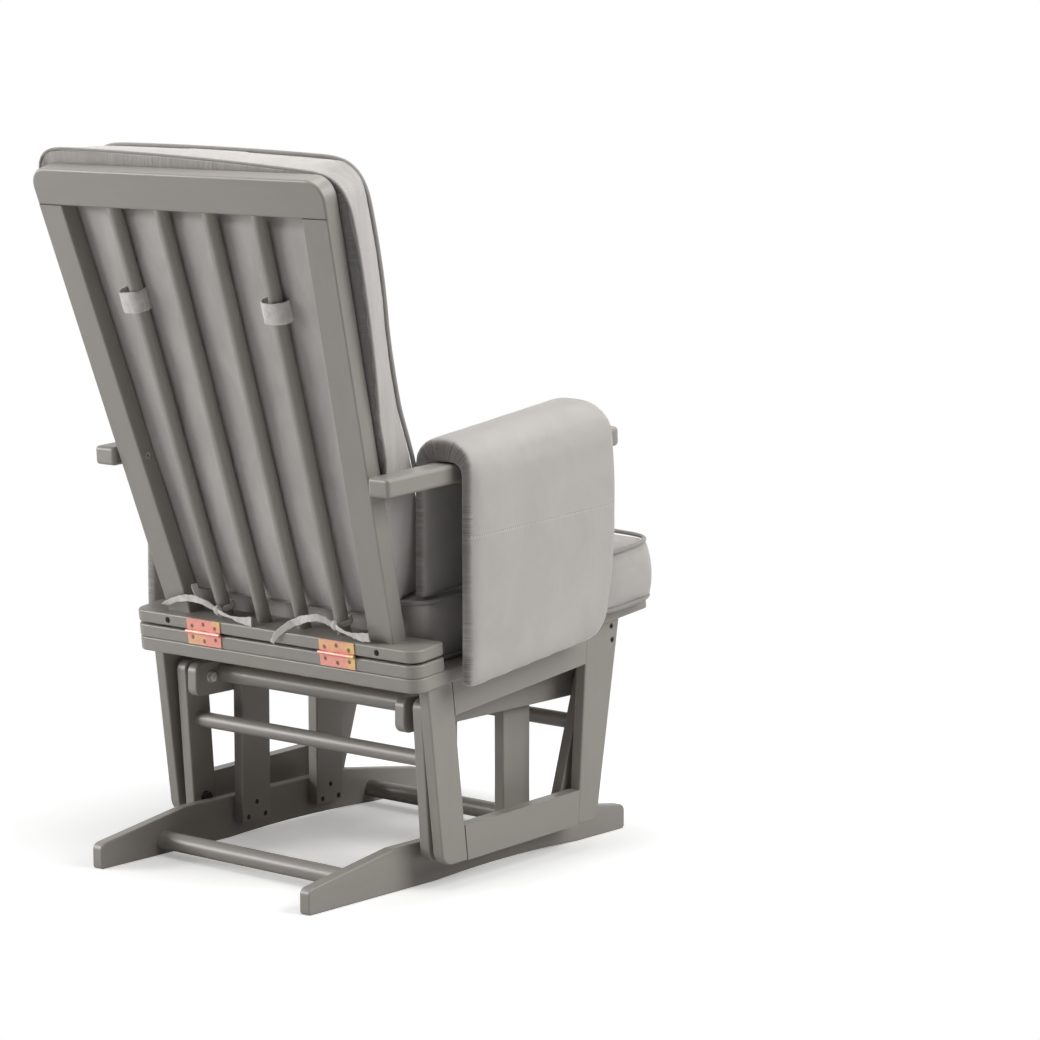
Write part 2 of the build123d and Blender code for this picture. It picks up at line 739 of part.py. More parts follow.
with BuildPart() as barrels:
    with BuildSketch(side_plane(post_bolt_half - post_width + 1)):
        with Locations((post_bolt.Y, post_bolt.Z)):
            Circle(barrel_dia / 2)
    extrude(amount=post_width - 0.5)
    with BuildSketch(side_plane(post_bolt_half - post_width + 1)):
        with Locations((post_bolt.Y, post_bolt.Z)):
            RegularPolygon(2.5, 6, major_radius=False)
    extrude(amount=8, mode=Mode.SUBTRACT)
    mirror(about=Plane.YZ)
save(barrels, "back_barrel_nuts")

# ================================================================ butt hinges
knuckles = 5
knuckle_run = hinge_length / knuckles
knuckle_gap = 0.3
pin_at = rear_face(hinge_axis).from_local_coords((0, 0, hinge_set))


def hinge_leaves(upper):
    """Both leaves of one row: screwed plates with their own knuckles, bored for the pin."""
    rise = 1 if upper else -1
    own = range(1, knuckles, 2) if upper else range(0, knuckles, 2)
    bore = hinge_pin_dia / 2 + (hinge_play if upper else 0)
    starts = [middle - hinge_length / 2 + n * knuckle_run for middle in (-hinge_x, hinge_x) for n in own]
    plate_near = knuckle_dia / 2 + 0.2
    plate_far = hinge_leaf + hinge_slot / 2 - 1
    with BuildPart() as leaves:
        with BuildSketch(rear_face(hinge_axis)):
            with Locations((-hinge_x, rise * (plate_near + plate_far) / 2), (hinge_x, rise * (plate_near + plate_far) / 2)):
                Rectangle(hinge_length, plate_far - plate_near)
        extrude(amount=hinge_sheet)
        with BuildSketch(rear_face(hinge_axis)):
            with Locations(*[(-x - knuckle_run / 2, rise * 2.2) for x in starts]):
                Rectangle(knuckle_run - knuckle_gap, 2.6)
        extrude(amount=hinge_sheet)
        for x in starts:
            with BuildSketch(side_plane(x + knuckle_gap / 2)):
                with Locations((pin_at.Y, pin_at.Z)):
                    Circle(knuckle_dia / 2)
            extrude(amount=knuckle_run - knuckle_gap)
        with BuildSketch(side_plane(-2 * hinge_x)):
            with Locations((pin_at.Y, pin_at.Z)):
                Circle(bore)
        extrude(amount=4 * hinge_x, mode=Mode.SUBTRACT)
        with BuildSketch(rear_face(hinge_axis)):
            with Locations(*hinge_spots(upper)):
                Circle(hinge_screw_head / 2)
        extrude(amount=hinge_sheet, mode=Mode.SUBTRACT)
    return leaves


def hinge_screw_set(upper):
    """Cross-head screws through the leaves, heads flush with the sheet."""
    with BuildPart() as screws:
        with BuildSketch(rear_face(hinge_axis)):
            with Locations(*hinge_spots(upper)):
                Circle(hinge_screw_head / 2)
        extrude(amount=hinge_sheet)
        with BuildSketch(rear_face(hinge_axis)):
            with Locations(*hinge_spots(upper)):
                Circle(hinge_screw_dia / 2)
        extrude(amount=-hinge_screw_length)
        for turn in (0, 90):
            with BuildSketch(rear_face(hinge_axis).offset(hinge_sheet)):
                with Locations(*hinge_spots(upper)):
                    Rectangle(3.8, 0.9, rotation=turn + 30)
            extrude(amount=-0.9, mode=Mode.SUBTRACT)
    return screws


with BuildPart() as lower_hinges:
    add(hinge_leaves(False).part)
    for middle in (-hinge_x, hinge_x):
        with BuildSketch(side_plane(middle - hinge_length / 2 - 1)):
            with Locations((pin_at.Y, pin_at.Z)):
                Circle(hinge_pin_dia / 2)
        extrude(amount=hinge_length + 2)
        for end in (middle - hinge_length / 2 - 1, middle + hinge_length / 2 - 0.15):
            with BuildSketch(side_plane(end)):
                with Locations((pin_at.Y, pin_at.Z)):
                    Circle(knuckle_dia / 2 - 0.4)
            extrude(amount=1.15)
save(lower_hinges, "hinge_leaves_lower")
save(hinge_leaves(True), "hinge_leaves_upper")
save(hinge_screw_set(False), "hinge_screws_lower")
save(hinge_screw_set(True), "hinge_screws_upper")

# ================================================================ arms
arm_slope = math.radians(arm_tilt)


def arm_plane(height=0.0):
    """Plane along an arm, `height` over its underside; origin at the rear end, local y backwards."""
    y = arm_rear_y + height * math.sin(arm_slope)
    z = arm_rear_z + height * math.cos(arm_slope)
    return Plane(origin=(0, y, z), x_dir=(1, 0, 0), z_dir=(0, math.sin(arm_slope), math.cos(arm_slope)))


def arm_under(y):
    """Height of the underside of an arm at y."""
    return arm_rear_z + (arm_rear_y - y) * math.tan(arm_slope)


def deck_top(y):
    """Height of the upper face of the deck at y."""
    return under_deck(y) + deck_board / math.cos(tilt)


arm_mid = arm_inner + arm_width / 2
arm_hole_dia = 6.0
for side, sign in SIDES:
    with BuildPart() as arm:
        with BuildSketch(arm_plane()) as plan:
            with Locations((sign * arm_mid, -arm_length / 2)):
                Rectangle(arm_width, arm_length)
            fillet(plan.vertices().group_by(Axis.Y)[0], radius=arm_width / 2 - 2)
            fillet(plan.vertices().group_by(Axis.Y)[-1], radius=6)
        extrude(amount=arm_height)
        rims = arm.faces().filter_by(lambda face: abs(face.normal_at().dot(arm_plane().z_dir)) > 0.99)
        fillet(rims.edges(), radius=5)
        with BuildSketch(side_plane(sign * arm_inner)):
            with Locations((post_bolt.Y, post_bolt.Z)):
                Circle(arm_hole_dia / 2)
        extrude(amount=sign * 25, mode=Mode.SUBTRACT)
    save(arm, f"arm_{side}")

    post_rear = arm_post_y + arm_post_width / 2
    post_front = arm_post_y - arm_post_width / 2
    post_x = arm_mid - arm_post_board / 2
    with BuildPart() as arm_post:
        with BuildSketch(side_plane(near_face(sign, post_x, post_x + arm_post_board))):
            with BuildLine():
                Polyline(
                    (post_rear, deck_top(post_rear)),
                    (post_rear, arm_under(post_rear)),
                    (post_front, arm_under(post_front)),
                    (post_front, deck_top(post_front)),
                    close=True,
                )
            make_face()
        extrude(amount=arm_post_board)
        fillet(arm_post.edges().filter_by(Axis.Z), radius=ease)
    save(arm_post, f"arm_post_{side}")

with BuildPart() as arm_bolts:
    with BuildSketch(side_plane(arm_inner)):
        with Locations((post_bolt.Y, post_bolt.Z)):
            Circle(arm_hole_dia / 2)
    extrude(amount=24)
    with BuildSketch(side_plane(arm_inner)):
        with Locations((post_bolt.Y, post_bolt.Z)):
            Circle(9)
    extrude(amount=-1.5)
    mirror(about=Plane.YZ)
save(arm_bolts, "arm_bolts")

# ================================================================ soft goods
pad_base = deck_board + soft_gap
pad_top_height = pad_base + seat_pad_height
cushion_rear = deck_rail_depth + soft_gap
ear_start = (deck_rear_y - (arm_post_y - arm_post_width / 2)) / math.cos(tilt) + 16

with BuildPart() as seat_cushion:
    with BuildSketch(deck_plane(pad_base)) as plan:
        with BuildLine():
            Polyline(
                (-seat_ear_half, -seat_corner_inset),
                (-seat_ear_half, -ear_start),
                (-seat_pad_waist, -ear_start + 4),
                (-seat_pad_waist, -cushion_rear),
                (seat_pad_waist, -cushion_rear),
                (seat_pad_waist, -ear_start + 4),
                (seat_ear_half, -ear_start),
                (seat_ear_half, -seat_corner_inset),
            )
            ThreePointArc(
                (-seat_ear_half, -seat_corner_inset),
                (0, -seat_bow_inset),
                (seat_ear_half, -seat_corner_inset),
            )
        make_face()
        for corner in ((-seat_ear_half, -seat_corner_inset), (seat_ear_half, -seat_corner_inset)):
            fillet(plan.vertices().sort_by_distance(Vector(*corner))[0], radius=seat_corner)
        fillet(plan.vertices().group_by(Axis.Y)[-1], radius=20)
    extrude(amount=seat_pad_height)
save(seat_cushion, "seat_cushion")

# Half outlines of the back cushion, from the foot to the crown: (half width, height up the back).
rear_outline = ((198.0, 10.0), (235.0, 255.0), (250.0, 315.0), (268.0, 422.0), (282.0, 560.0), (283.0, 661.0))
rear_crown = (667.0, 38.0)      # height of the middle of the crown, rounding of the top corners
front_outline = ((170.0, 10.0), (195.0, 200.0), (203.0, 275.0), (230.0, 400.0), (249.0, 560.0), (250.0, 643.0))
front_crown = (647.0, 40.0)


def cushion_outline(depth, side_points, crown):
    """One face of the back cushion: flared sides, rounded top corners and a bowed top edge."""
    crown_middle, crown_round = crown
    side_head = side_points[-1]
    with BuildSketch(back_plane(depth)) as face:
        with BuildLine():
            Line((-side_points[0][0], side_points[0][1]), side_points[0])
            Spline(*side_points)
            ThreePointArc(side_head, (0, crown_middle), (-side_head[0], side_head[1]))
            Spline(*[(-x, y) for x, y in reversed(side_points)])
        make_face()
        for x in (side_head[0], -side_head[0]):
            fillet(face.vertices().sort_by_distance(Vector(x, side_head[1]))[0], radius=crown_round)
    return face


back_pad_rear = post_depth + soft_gap
with BuildPart() as back_cushion:
    add(cushion_outline(back_pad_rear, rear_outline, rear_crown).sketch)
    add(cushion_outline(back_pad_rear + back_pad_depth, front_outline, front_crown).sketch)
    loft()
    split(bisect_by=deck_plane(pad_top_height - back_pad_droop), keep=Keep.TOP)
    with BuildSketch(deck_plane(pad_base)):
        with Locations((0, -cushion_rear + 2 * soft_gap - deck_length / 2)):
            Rectangle(2 * deck_half, deck_length)
    extrude(amount=seat_pad_height + soft_gap, mode=Mode.SUBTRACT)
save(back_cushion, "back_cushion")

pad_front_y = pad_rear_y - pad_length
pad_inner = arm_inner - pad_stand_off - pad_cloth
pad_outer = arm_inner + arm_width + pad_stand_off + pad_cloth
over_arm = (arm_height + soft_gap) / math.cos(arm_slope)


def drape_outline(nose, corner):
    """Side view of an arm pad; `nose` and `corner` round its front, at the top and at the foot."""
    with BuildSketch(Plane.XY) as drape:
        with BuildLine():
            Polyline(
                (pad_rear_y, pad_outer_foot[0]),
                (pad_rear_y, pad_top[0]),
                (pad_front_y, pad_top[1]),
                (pad_front_y, pad_outer_foot[1]),
                close=True,
            )
        make_face()
        if nose:
            fillet(drape.vertices().sort_by_distance(Vector(pad_front_y, pad_top[1]))[0], radius=nose)
        if corner:
            fillet(drape.vertices().sort_by_distance(Vector(pad_front_y, pad_outer_foot[1]))[0], radius=corner)
    return drape.sketch


for side, sign in SIDES:
    with BuildPart() as arm_pad:
        with BuildSketch(side_plane(near_face(sign, pad_inner, pad_outer))):
            add(drape_outline(0, 0))
        extrude(amount=pad_outer - pad_inner)
        shoulders = arm_pad.edges().filter_by(
            lambda edge: edge.length > 0.9 * pad_length and edge.center().Z > pad_top[0]
        )
        fillet(shoulders, radius=pad_shoulder)
        with BuildSketch(side_plane(near_face(sign, pad_inner, pad_outer))):
            add(drape_outline(pad_nose, pad_corner))
        extrude(amount=pad_outer - pad_inner, mode=Mode.INTERSECT)
        with BuildSketch(side_plane(near_face(sign, pad_inner + pad_cloth, pad_outer - pad_cloth))):
            with BuildLine():
                Polyline(
                    (pad_rear_y, 0),
                    (pad_rear_y, arm_under(pad_rear_y) + over_arm),
                    (pad_front_y, arm_under(pad_front_y) + over_arm),
                    (pad_front_y, 0),
                    close=True,
                )
            make_face()
        extrude(amount=pad_outer - pad_inner - 2 * pad_cloth, mode=Mode.SUBTRACT)
        with BuildSketch(side_plane(near_face(sign, pad_inner, pad_inner + pad_cloth))):
            with BuildLine():
                Polyline(
                    (pad_rear_y, 0),
                    (pad_rear_y, pad_inner_foot[0]),
                    (pad_front_y, pad_inner_foot[1]),
                    (pad_front_y, 0),
                    close=True,
                )
            make_face()
        extrude(amount=pad_cloth, mode=Mode.SUBTRACT)
    save(arm_pad, f"arm_pad_{side}")

reach = post_depth / 2 + soft_gap - 0.3
with BuildPart() as straps:
    for place in (slat_places_across[0], slat_places_across[-1]):
        with BuildSketch(slat_plane(place, loop_s)):
            Circle(slat_dia / 2 + 0.4 + strap_cloth)
            with Locations((0, reach / 2)):
                Rectangle(slat_dia + 0.8 + 2 * strap_cloth, reach)
            Circle(slat_dia / 2 + 0.4, mode=Mode.SUBTRACT)
            with Locations((0, reach / 2)):
                Rectangle(slat_dia + 0.8, reach, mode=Mode.SUBTRACT)
        extrude(amount=loop_width)
    for place in (slat_places_across[0], slat_places_across[-1]):
        with BuildSketch(slat_plane(place, tie_s)):
            Circle(slat_dia / 2 + 0.4 + strap_cloth)
            Circle(slat_dia / 2 + 0.4, mode=Mode.SUBTRACT)
        extrude(amount=tape_width)
save(straps, "cushion_straps")
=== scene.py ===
import bpy
import bmesh
import math
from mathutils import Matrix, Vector, kdtree, noise


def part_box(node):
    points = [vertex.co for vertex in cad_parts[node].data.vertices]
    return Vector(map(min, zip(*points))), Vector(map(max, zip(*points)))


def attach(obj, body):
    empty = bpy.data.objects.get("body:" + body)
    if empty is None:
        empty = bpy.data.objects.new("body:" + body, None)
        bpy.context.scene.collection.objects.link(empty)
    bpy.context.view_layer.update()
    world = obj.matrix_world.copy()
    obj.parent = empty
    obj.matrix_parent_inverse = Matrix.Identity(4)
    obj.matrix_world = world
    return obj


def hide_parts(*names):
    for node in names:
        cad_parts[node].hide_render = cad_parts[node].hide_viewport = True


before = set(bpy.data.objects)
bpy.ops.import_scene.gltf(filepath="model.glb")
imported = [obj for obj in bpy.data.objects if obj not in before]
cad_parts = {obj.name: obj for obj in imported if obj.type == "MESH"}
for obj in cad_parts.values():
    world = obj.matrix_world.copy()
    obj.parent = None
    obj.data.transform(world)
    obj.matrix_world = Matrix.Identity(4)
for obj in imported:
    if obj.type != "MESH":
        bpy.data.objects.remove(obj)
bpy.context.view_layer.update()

# ------------------------------------------------------------------ stage and camera
floor_size = 12.0
camera_place = (-3.389, 3.658, 1.2)
camera_heading = math.radians(220.15)
camera_pitch = math.radians(8.33)
camera_lens = 125.06


# ------------------------------------------------------------------ shader groups
def new_group(name, inputs, outputs):
    """A shader node group with named sockets, and its input and output nodes."""
    group = bpy.data.node_groups.new(name, "ShaderNodeTree")
    for label, kind, value in inputs:
        socket = group.interface.new_socket(name=label, in_out="INPUT", socket_type=kind)
        if value is not None:
            socket.default_value = value
    for label, kind in outputs:
        group.interface.new_socket(name=label, in_out="OUTPUT", socket_type=kind)
    return group, group.nodes.new("NodeGroupInput"), group.nodes.new("NodeGroupOutput")


def add_node(tree, kind, **settings):
    """A node with its settings; keys that start with in_ set an input socket by number."""
    node = tree.nodes.new(kind)
    for key, value in settings.items():
        if key.startswith("in_"):
            node.inputs[int(key[3:])].default_value = value
        else:
            setattr(node, key, value)
    return node


def lacquer_group():
    """Sprayed lacquer over wood: faint grain along one axis, orange peel, dust and rubbed patches."""
    group, start, end = new_group(
        "sprayed_lacquer",
        [
            ("Coordinates", "NodeSocketVector", None),
            ("Colour", "NodeSocketColor", (0.3, 0.29, 0.27, 1)),
            ("Grain Stretch", "NodeSocketVector", (60.0, 60.0, 4.0)),
            ("Tone", "NodeSocketFloat", 0.05),
        ],
        [("Colour", "NodeSocketColor"), ("Roughness", "NodeSocketFloat"), ("Height", "NodeSocketFloat")],
    )
    link = group.links.new
    scaled = add_node(group, "ShaderNodeVectorMath", operation="MULTIPLY")
    link(start.outputs["Coordinates"], scaled.inputs[0])
    link(start.outputs["Grain Stretch"], scaled.inputs[1])
    grain = add_node(group, "ShaderNodeTexNoise", in_2=1.0, in_3=5.0, in_4=0.62)
    link(scaled.outputs[0], grain.inputs["Vector"])
    cloud = add_node(group, "ShaderNodeTexNoise", in_2=9.0, in_3=3.0, in_4=0.5)
    link(start.outputs["Coordinates"], cloud.inputs["Vector"])
    peel = add_node(group, "ShaderNodeTexNoise", in_2=650.0, in_3=2.0, in_4=0.5)
    link(start.outputs["Coordinates"], peel.inputs["Vector"])
    both = add_node(group, "ShaderNodeMath", operation="MULTIPLY_ADD", in_1=0.55)
    link(grain.outputs["Fac"], both.inputs[0])
    half_cloud = add_node(group, "ShaderNodeMath", operation="MULTIPLY", in_1=0.45)
    link(cloud.outputs["Fac"], half_cloud.inputs[0])
    link(half_cloud.outputs[0], both.inputs[2])
    centred = add_node(group, "ShaderNodeMath", operation="SUBTRACT", in_1=0.5)
    link(both.outputs[0], centred.inputs[0])
    tone = add_node(group, "ShaderNodeMath", operation="MULTIPLY_ADD", in_2=1.0)
    link(centred.outputs[0], tone.inputs[0])
    double = add_node(group, "ShaderNodeMath", operation="MULTIPLY", in_1=4.0)
    link(start.outputs["Tone"], double.inputs[0])
    link(double.outputs[0], tone.inputs[1])
    tinted = add_node(group, "ShaderNodeVectorMath", operation="SCALE")
    link(start.outputs["Colour"], tinted.inputs[0])
    link(tone.outputs[0], tinted.inputs["Scale"])
    link(tinted.outputs[0], end.inputs["Colour"])
    rough = add_node(group, "ShaderNodeMapRange", in_1=0.3, in_2=0.7, in_3=0.33, in_4=0.46)
    link(both.outputs[0], rough.inputs[0])
    link(rough.outputs[0], end.inputs["Roughness"])
    height = add_node(group, "ShaderNodeMath", operation="MULTIPLY_ADD", in_1=0.35)
    link(peel.outputs["Fac"], height.inputs[0])
    link(grain.outputs["Fac"], height.inputs[2])
    link(height.outputs[0], end.inputs["Height"])
    return group


def velvet_group():
    """Brushed pile: strokes laid one way over the cloth, blotches, a fine fibre grain, and painted shade
    along a marked seam and over the gathers.
    """
    group, start, end = new_group(
        "brushed_pile",
        [
            ("Coordinates", "NodeSocketVector", None),
            ("Colour", "NodeSocketColor", (0.45, 0.43, 0.41, 1)),
            ("Stroke Stretch", "NodeSocketVector", (30.0, 30.0, 9.0)),
            ("Stroke Depth", "NodeSocketFloat", 0.25),
            ("Fibre Scale", "NodeSocketFloat", 1400.0),
            ("Seam Gap", "NodeSocketFloat", 1.0),
            ("Seam Run", "NodeSocketFloat", 0.0),
            ("Gather Reach", "NodeSocketFloat", 0.02),
            ("Gather Pitch", "NodeSocketFloat", 0.007),
            ("Gather Depth", "NodeSocketFloat", 0.0),
            # painted shade: the share by which the colour is darkened near a seam where the cloth lies in
            # shade
            ("Painted Seam Shade", "NodeSocketFloat", 0.0),
        ],
        [("Colour", "NodeSocketColor"), ("Height", "NodeSocketFloat")],
    )
    link = group.links.new
    scaled = add_node(group, "ShaderNodeVectorMath", operation="MULTIPLY")
    link(start.outputs["Coordinates"], scaled.inputs[0])
    link(start.outputs["Stroke Stretch"], scaled.inputs[1])
    stroke = add_node(group, "ShaderNodeTexNoise", in_2=1.0, in_3=4.0, in_4=0.6)
    stroke.inputs["Distortion"].default_value = 0.8
    link(scaled.outputs[0], stroke.inputs["Vector"])
    blotch = add_node(group, "ShaderNodeTexNoise", in_2=7.0, in_3=2.0, in_4=0.5)
    link(start.outputs["Coordinates"], blotch.inputs["Vector"])
    fibre = add_node(group, "ShaderNodeTexNoise", in_3=2.0, in_4=0.7)
    link(start.outputs["Coordinates"], fibre.inputs["Vector"])
    link(start.outputs["Fibre Scale"], fibre.inputs["Scale"])
    mixed = add_node(group, "ShaderNodeMath", operation="MULTIPLY_ADD", in_1=0.6)
    link(stroke.outputs["Fac"], mixed.inputs[0])
    part = add_node(group, "ShaderNodeMath", operation="MULTIPLY_ADD", in_1=0.28)
    link(blotch.outputs["Fac"], part.inputs[0])
    grain = add_node(group, "ShaderNodeMath", operation="MULTIPLY", in_1=0.12)
    link(fibre.outputs["Fac"], grain.inputs[0])
    link(grain.outputs[0], part.inputs[2])
    link(part.outputs[0], mixed.inputs[2])
    centred = add_node(group, "ShaderNodeMath", operation="SUBTRACT", in_1=0.5)
    link(mixed.outputs[0], centred.inputs[0])
    deep = add_node(group, "ShaderNodeMath", operation="MULTIPLY", in_1=4.0)
    link(start.outputs["Stroke Depth"], deep.inputs[0])
    tone = add_node(group, "ShaderNodeMath", operation="MULTIPLY_ADD", in_2=1.0)
    link(centred.outputs[0], tone.inputs[0])
    link(deep.outputs[0], tone.inputs[1])
    # gathers: folds across the seam that die out over the reach, at an uneven pitch; they go into the bump
    # and are also painted into the colour as painted shade and painted light
    turns = add_node(group, "ShaderNodeMath", operation="DIVIDE")
    link(start.outputs["Seam Run"], turns.inputs[0])
    link(start.outputs["Gather Pitch"], turns.inputs[1])
    uneven = add_node(group, "ShaderNodeTexNoise", noise_dimensions="1D", in_2=1.0, in_3=2.0)
    link(turns.outputs[0], uneven.inputs["W"])
    drift = add_node(group, "ShaderNodeMath", operation="MULTIPLY_ADD", in_1=3.0)
    link(uneven.outputs["Fac"], drift.inputs[0])
    link(turns.outputs[0], drift.inputs[2])
    angle = add_node(group, "ShaderNodeMath", operation="MULTIPLY", in_1=2 * math.pi)
    link(drift.outputs[0], angle.inputs[0])
    wave = add_node(group, "ShaderNodeMath", operation="SINE")
    link(angle.outputs[0], wave.inputs[0])
    near = add_node(group, "ShaderNodeMapRange", in_1=0.0, in_3=1.0, in_4=0.0)
    link(start.outputs["Seam Gap"], near.inputs[0])
    link(start.outputs["Gather Reach"], near.inputs[2])
    patches = add_node(group, "ShaderNodeTexNoise", noise_dimensions="1D", in_2=0.12, in_3=1.0)
    link(turns.outputs[0], patches.inputs["W"])
    strong = add_node(group, "ShaderNodeMapRange", in_1=0.42, in_2=0.58, in_3=0.15, in_4=1.0)
    link(patches.outputs["Fac"], strong.inputs[0])
    patchy = add_node(group, "ShaderNodeMath", operation="MULTIPLY")
    link(wave.outputs[0], patchy.inputs[0])
    link(strong.outputs[0], patchy.inputs[1])
    fold = add_node(group, "ShaderNodeMath", operation="MULTIPLY")
    link(patchy.outputs[0], fold.inputs[0])
    link(near.outputs[0], fold.inputs[1])
    folded = add_node(group, "ShaderNodeMath", operation="MULTIPLY")
    link(fold.outputs[0], folded.inputs[0])
    link(start.outputs["Gather Depth"], folded.inputs[1])
    # painted shade in the troughs and painted light on the crests of the gathers, added to the tone
    shaded = add_node(group, "ShaderNodeMath", operation="MULTIPLY_ADD", in_1=0.3)
    link(folded.outputs[0], shaded.inputs[0])
    link(tone.outputs[0], shaded.inputs[2])
    # painted shade: the tone is darkened by the seam shade share marked on the points
    bright = add_node(group, "ShaderNodeMath", operation="SUBTRACT", in_0=1.0)
    link(start.outputs["Painted Seam Shade"], bright.inputs[1])
    dimmed = add_node(group, "ShaderNodeMath", operation="MULTIPLY")
    link(shaded.outputs[0], dimmed.inputs[0])
    link(bright.outputs[0], dimmed.inputs[1])
    tinted = add_node(group, "ShaderNodeVectorMath", operation="SCALE")
    link(start.outputs["Colour"], tinted.inputs[0])
    link(dimmed.outputs[0], tinted.inputs["Scale"])
    link(tinted.outputs[0], end.inputs["Colour"])
    height = add_node(group, "ShaderNodeMath", operation="MULTIPLY_ADD", in_1=0.6)
    link(fibre.outputs["Fac"], height.inputs[0])
    link(stroke.outputs["Fac"], height.inputs[2])
    lifted = add_node(group, "ShaderNodeMath", operation="MULTIPLY_ADD", in_1=2.5)
    link(folded.outputs[0], lifted.inputs[0])
    link(height.outputs[0], lifted.inputs[2])
    link(lifted.outputs[0], end.inputs["Height"])
    return group


def pocket_seam_group():
    """A stitched seam across the outer face of an arm pad, with small puckers below it and a painted
    highlight and painted shade along the stitches of its groove.
    """
    group, start, end = new_group(
        "pocket_seam",
        [
            ("Coordinates", "NodeSocketVector", None),
            ("Colour", "NodeSocketColor", (0.4, 0.4, 0.4, 1)),
            ("Height", "NodeSocketFloat", 0.0),
            ("Level", "NodeSocketFloat", 0.4932),
            ("Rise", "NodeSocketFloat", 0.046),
        ],
        [("Colour", "NodeSocketColor"), ("Height", "NodeSocketFloat")],
    )
    link = group.links.new
    split = group.nodes.new("ShaderNodeSeparateXYZ")
    link(start.outputs["Coordinates"], split.inputs[0])
    slope = add_node(group, "ShaderNodeMath", operation="MULTIPLY")
    link(split.outputs["Y"], slope.inputs[0])
    link(start.outputs["Rise"], slope.inputs[1])
    line = add_node(group, "ShaderNodeMath", operation="SUBTRACT")
    link(start.outputs["Level"], line.inputs[0])
    link(slope.outputs[0], line.inputs[1])
    over = add_node(group, "ShaderNodeMath", operation="SUBTRACT")
    link(split.outputs["Z"], over.inputs[0])
    link(line.outputs[0], over.inputs[1])
    off = add_node(group, "ShaderNodeMath", operation="ABSOLUTE")
    link(over.outputs[0], off.inputs[0])
    groove = add_node(group, "ShaderNodeMapRange", in_1=0.0003, in_2=0.0022, in_3=1.0, in_4=0.0)
    link(off.outputs[0], groove.inputs[0])
    side = add_node(group, "ShaderNodeMath", operation="ABSOLUTE")
    link(split.outputs["X"], side.inputs[0])
    outer = add_node(group, "ShaderNodeMapRange", in_1=0.298, in_2=0.304)
    link(side.outputs[0], outer.inputs[0])
    cut = add_node(group, "ShaderNodeMath", operation="MULTIPLY")
    link(groove.outputs[0], cut.inputs[0])
    link(outer.outputs[0], cut.inputs[1])
    stretch = add_node(group, "ShaderNodeVectorMath", operation="MULTIPLY", in_1=(0.0, 150.0, 25.0))
    link(start.outputs["Coordinates"], stretch.inputs[0])
    pucker = add_node(group, "ShaderNodeTexNoise", in_2=1.0, in_3=2.0)
    link(stretch.outputs[0], pucker.inputs["Vector"])
    below = add_node(group, "ShaderNodeMapRange", in_1=-0.022, in_2=-0.001)
    link(over.outputs[0], below.inputs[0])
    above = add_node(group, "ShaderNodeMapRange", in_1=0.006, in_2=0.0)
    link(over.outputs[0], above.inputs[0])
    band = add_node(group, "ShaderNodeMath", operation="MULTIPLY")
    link(below.outputs[0], band.inputs[0])
    link(above.outputs[0], band.inputs[1])
    banded = add_node(group, "ShaderNodeMath", operation="MULTIPLY")
    link(band.outputs[0], banded.inputs[0])
    link(outer.outputs[0], banded.inputs[1])
    puckers = add_node(group, "ShaderNodeMath", operation="MULTIPLY")
    link(pucker.outputs["Fac"], puckers.inputs[0])
    link(banded.outputs[0], puckers.inputs[1])
    raised = add_node(group, "ShaderNodeMath", operation="MULTIPLY_ADD", in_1=1.6)
    link(puckers.outputs[0], raised.inputs[0])
    link(start.outputs["Height"], raised.inputs[2])
    lowered = add_node(group, "ShaderNodeMath", operation="MULTIPLY_ADD", in_1=-1.1)
    link(cut.outputs[0], lowered.inputs[0])
    link(raised.outputs[0], lowered.inputs[2])
    link(lowered.outputs[0], end.inputs["Height"])
    # painted highlight and painted shade: the colour in the groove rises and falls stitch by stitch
    stitches = add_node(group, "ShaderNodeMath", operation="MULTIPLY", in_1=2 * math.pi / 0.0042)
    link(split.outputs["Y"], stitches.inputs[0])
    beat = add_node(group, "ShaderNodeMath", operation="SINE")
    link(stitches.outputs[0], beat.inputs[0])
    stitch_highlight_and_shade = add_node(group, "ShaderNodeMapRange", in_1=-0.2, in_2=0.3, in_3=-0.16, in_4=0.2)
    link(beat.outputs[0], stitch_highlight_and_shade.inputs[0])
    tone = add_node(group, "ShaderNodeMath", operation="MULTIPLY_ADD", in_2=1.0)
    link(cut.outputs[0], tone.inputs[0])
    link(stitch_highlight_and_shade.outputs[0], tone.inputs[1])
    tinted = add_node(group, "ShaderNodeVectorMath", operation="SCALE")
    link(start.outputs["Colour"], tinted.inputs[0])
    link(tone.outputs[0], tinted.inputs["Scale"])
    link(tinted.outputs[0], end.inputs["Colour"])
    return group


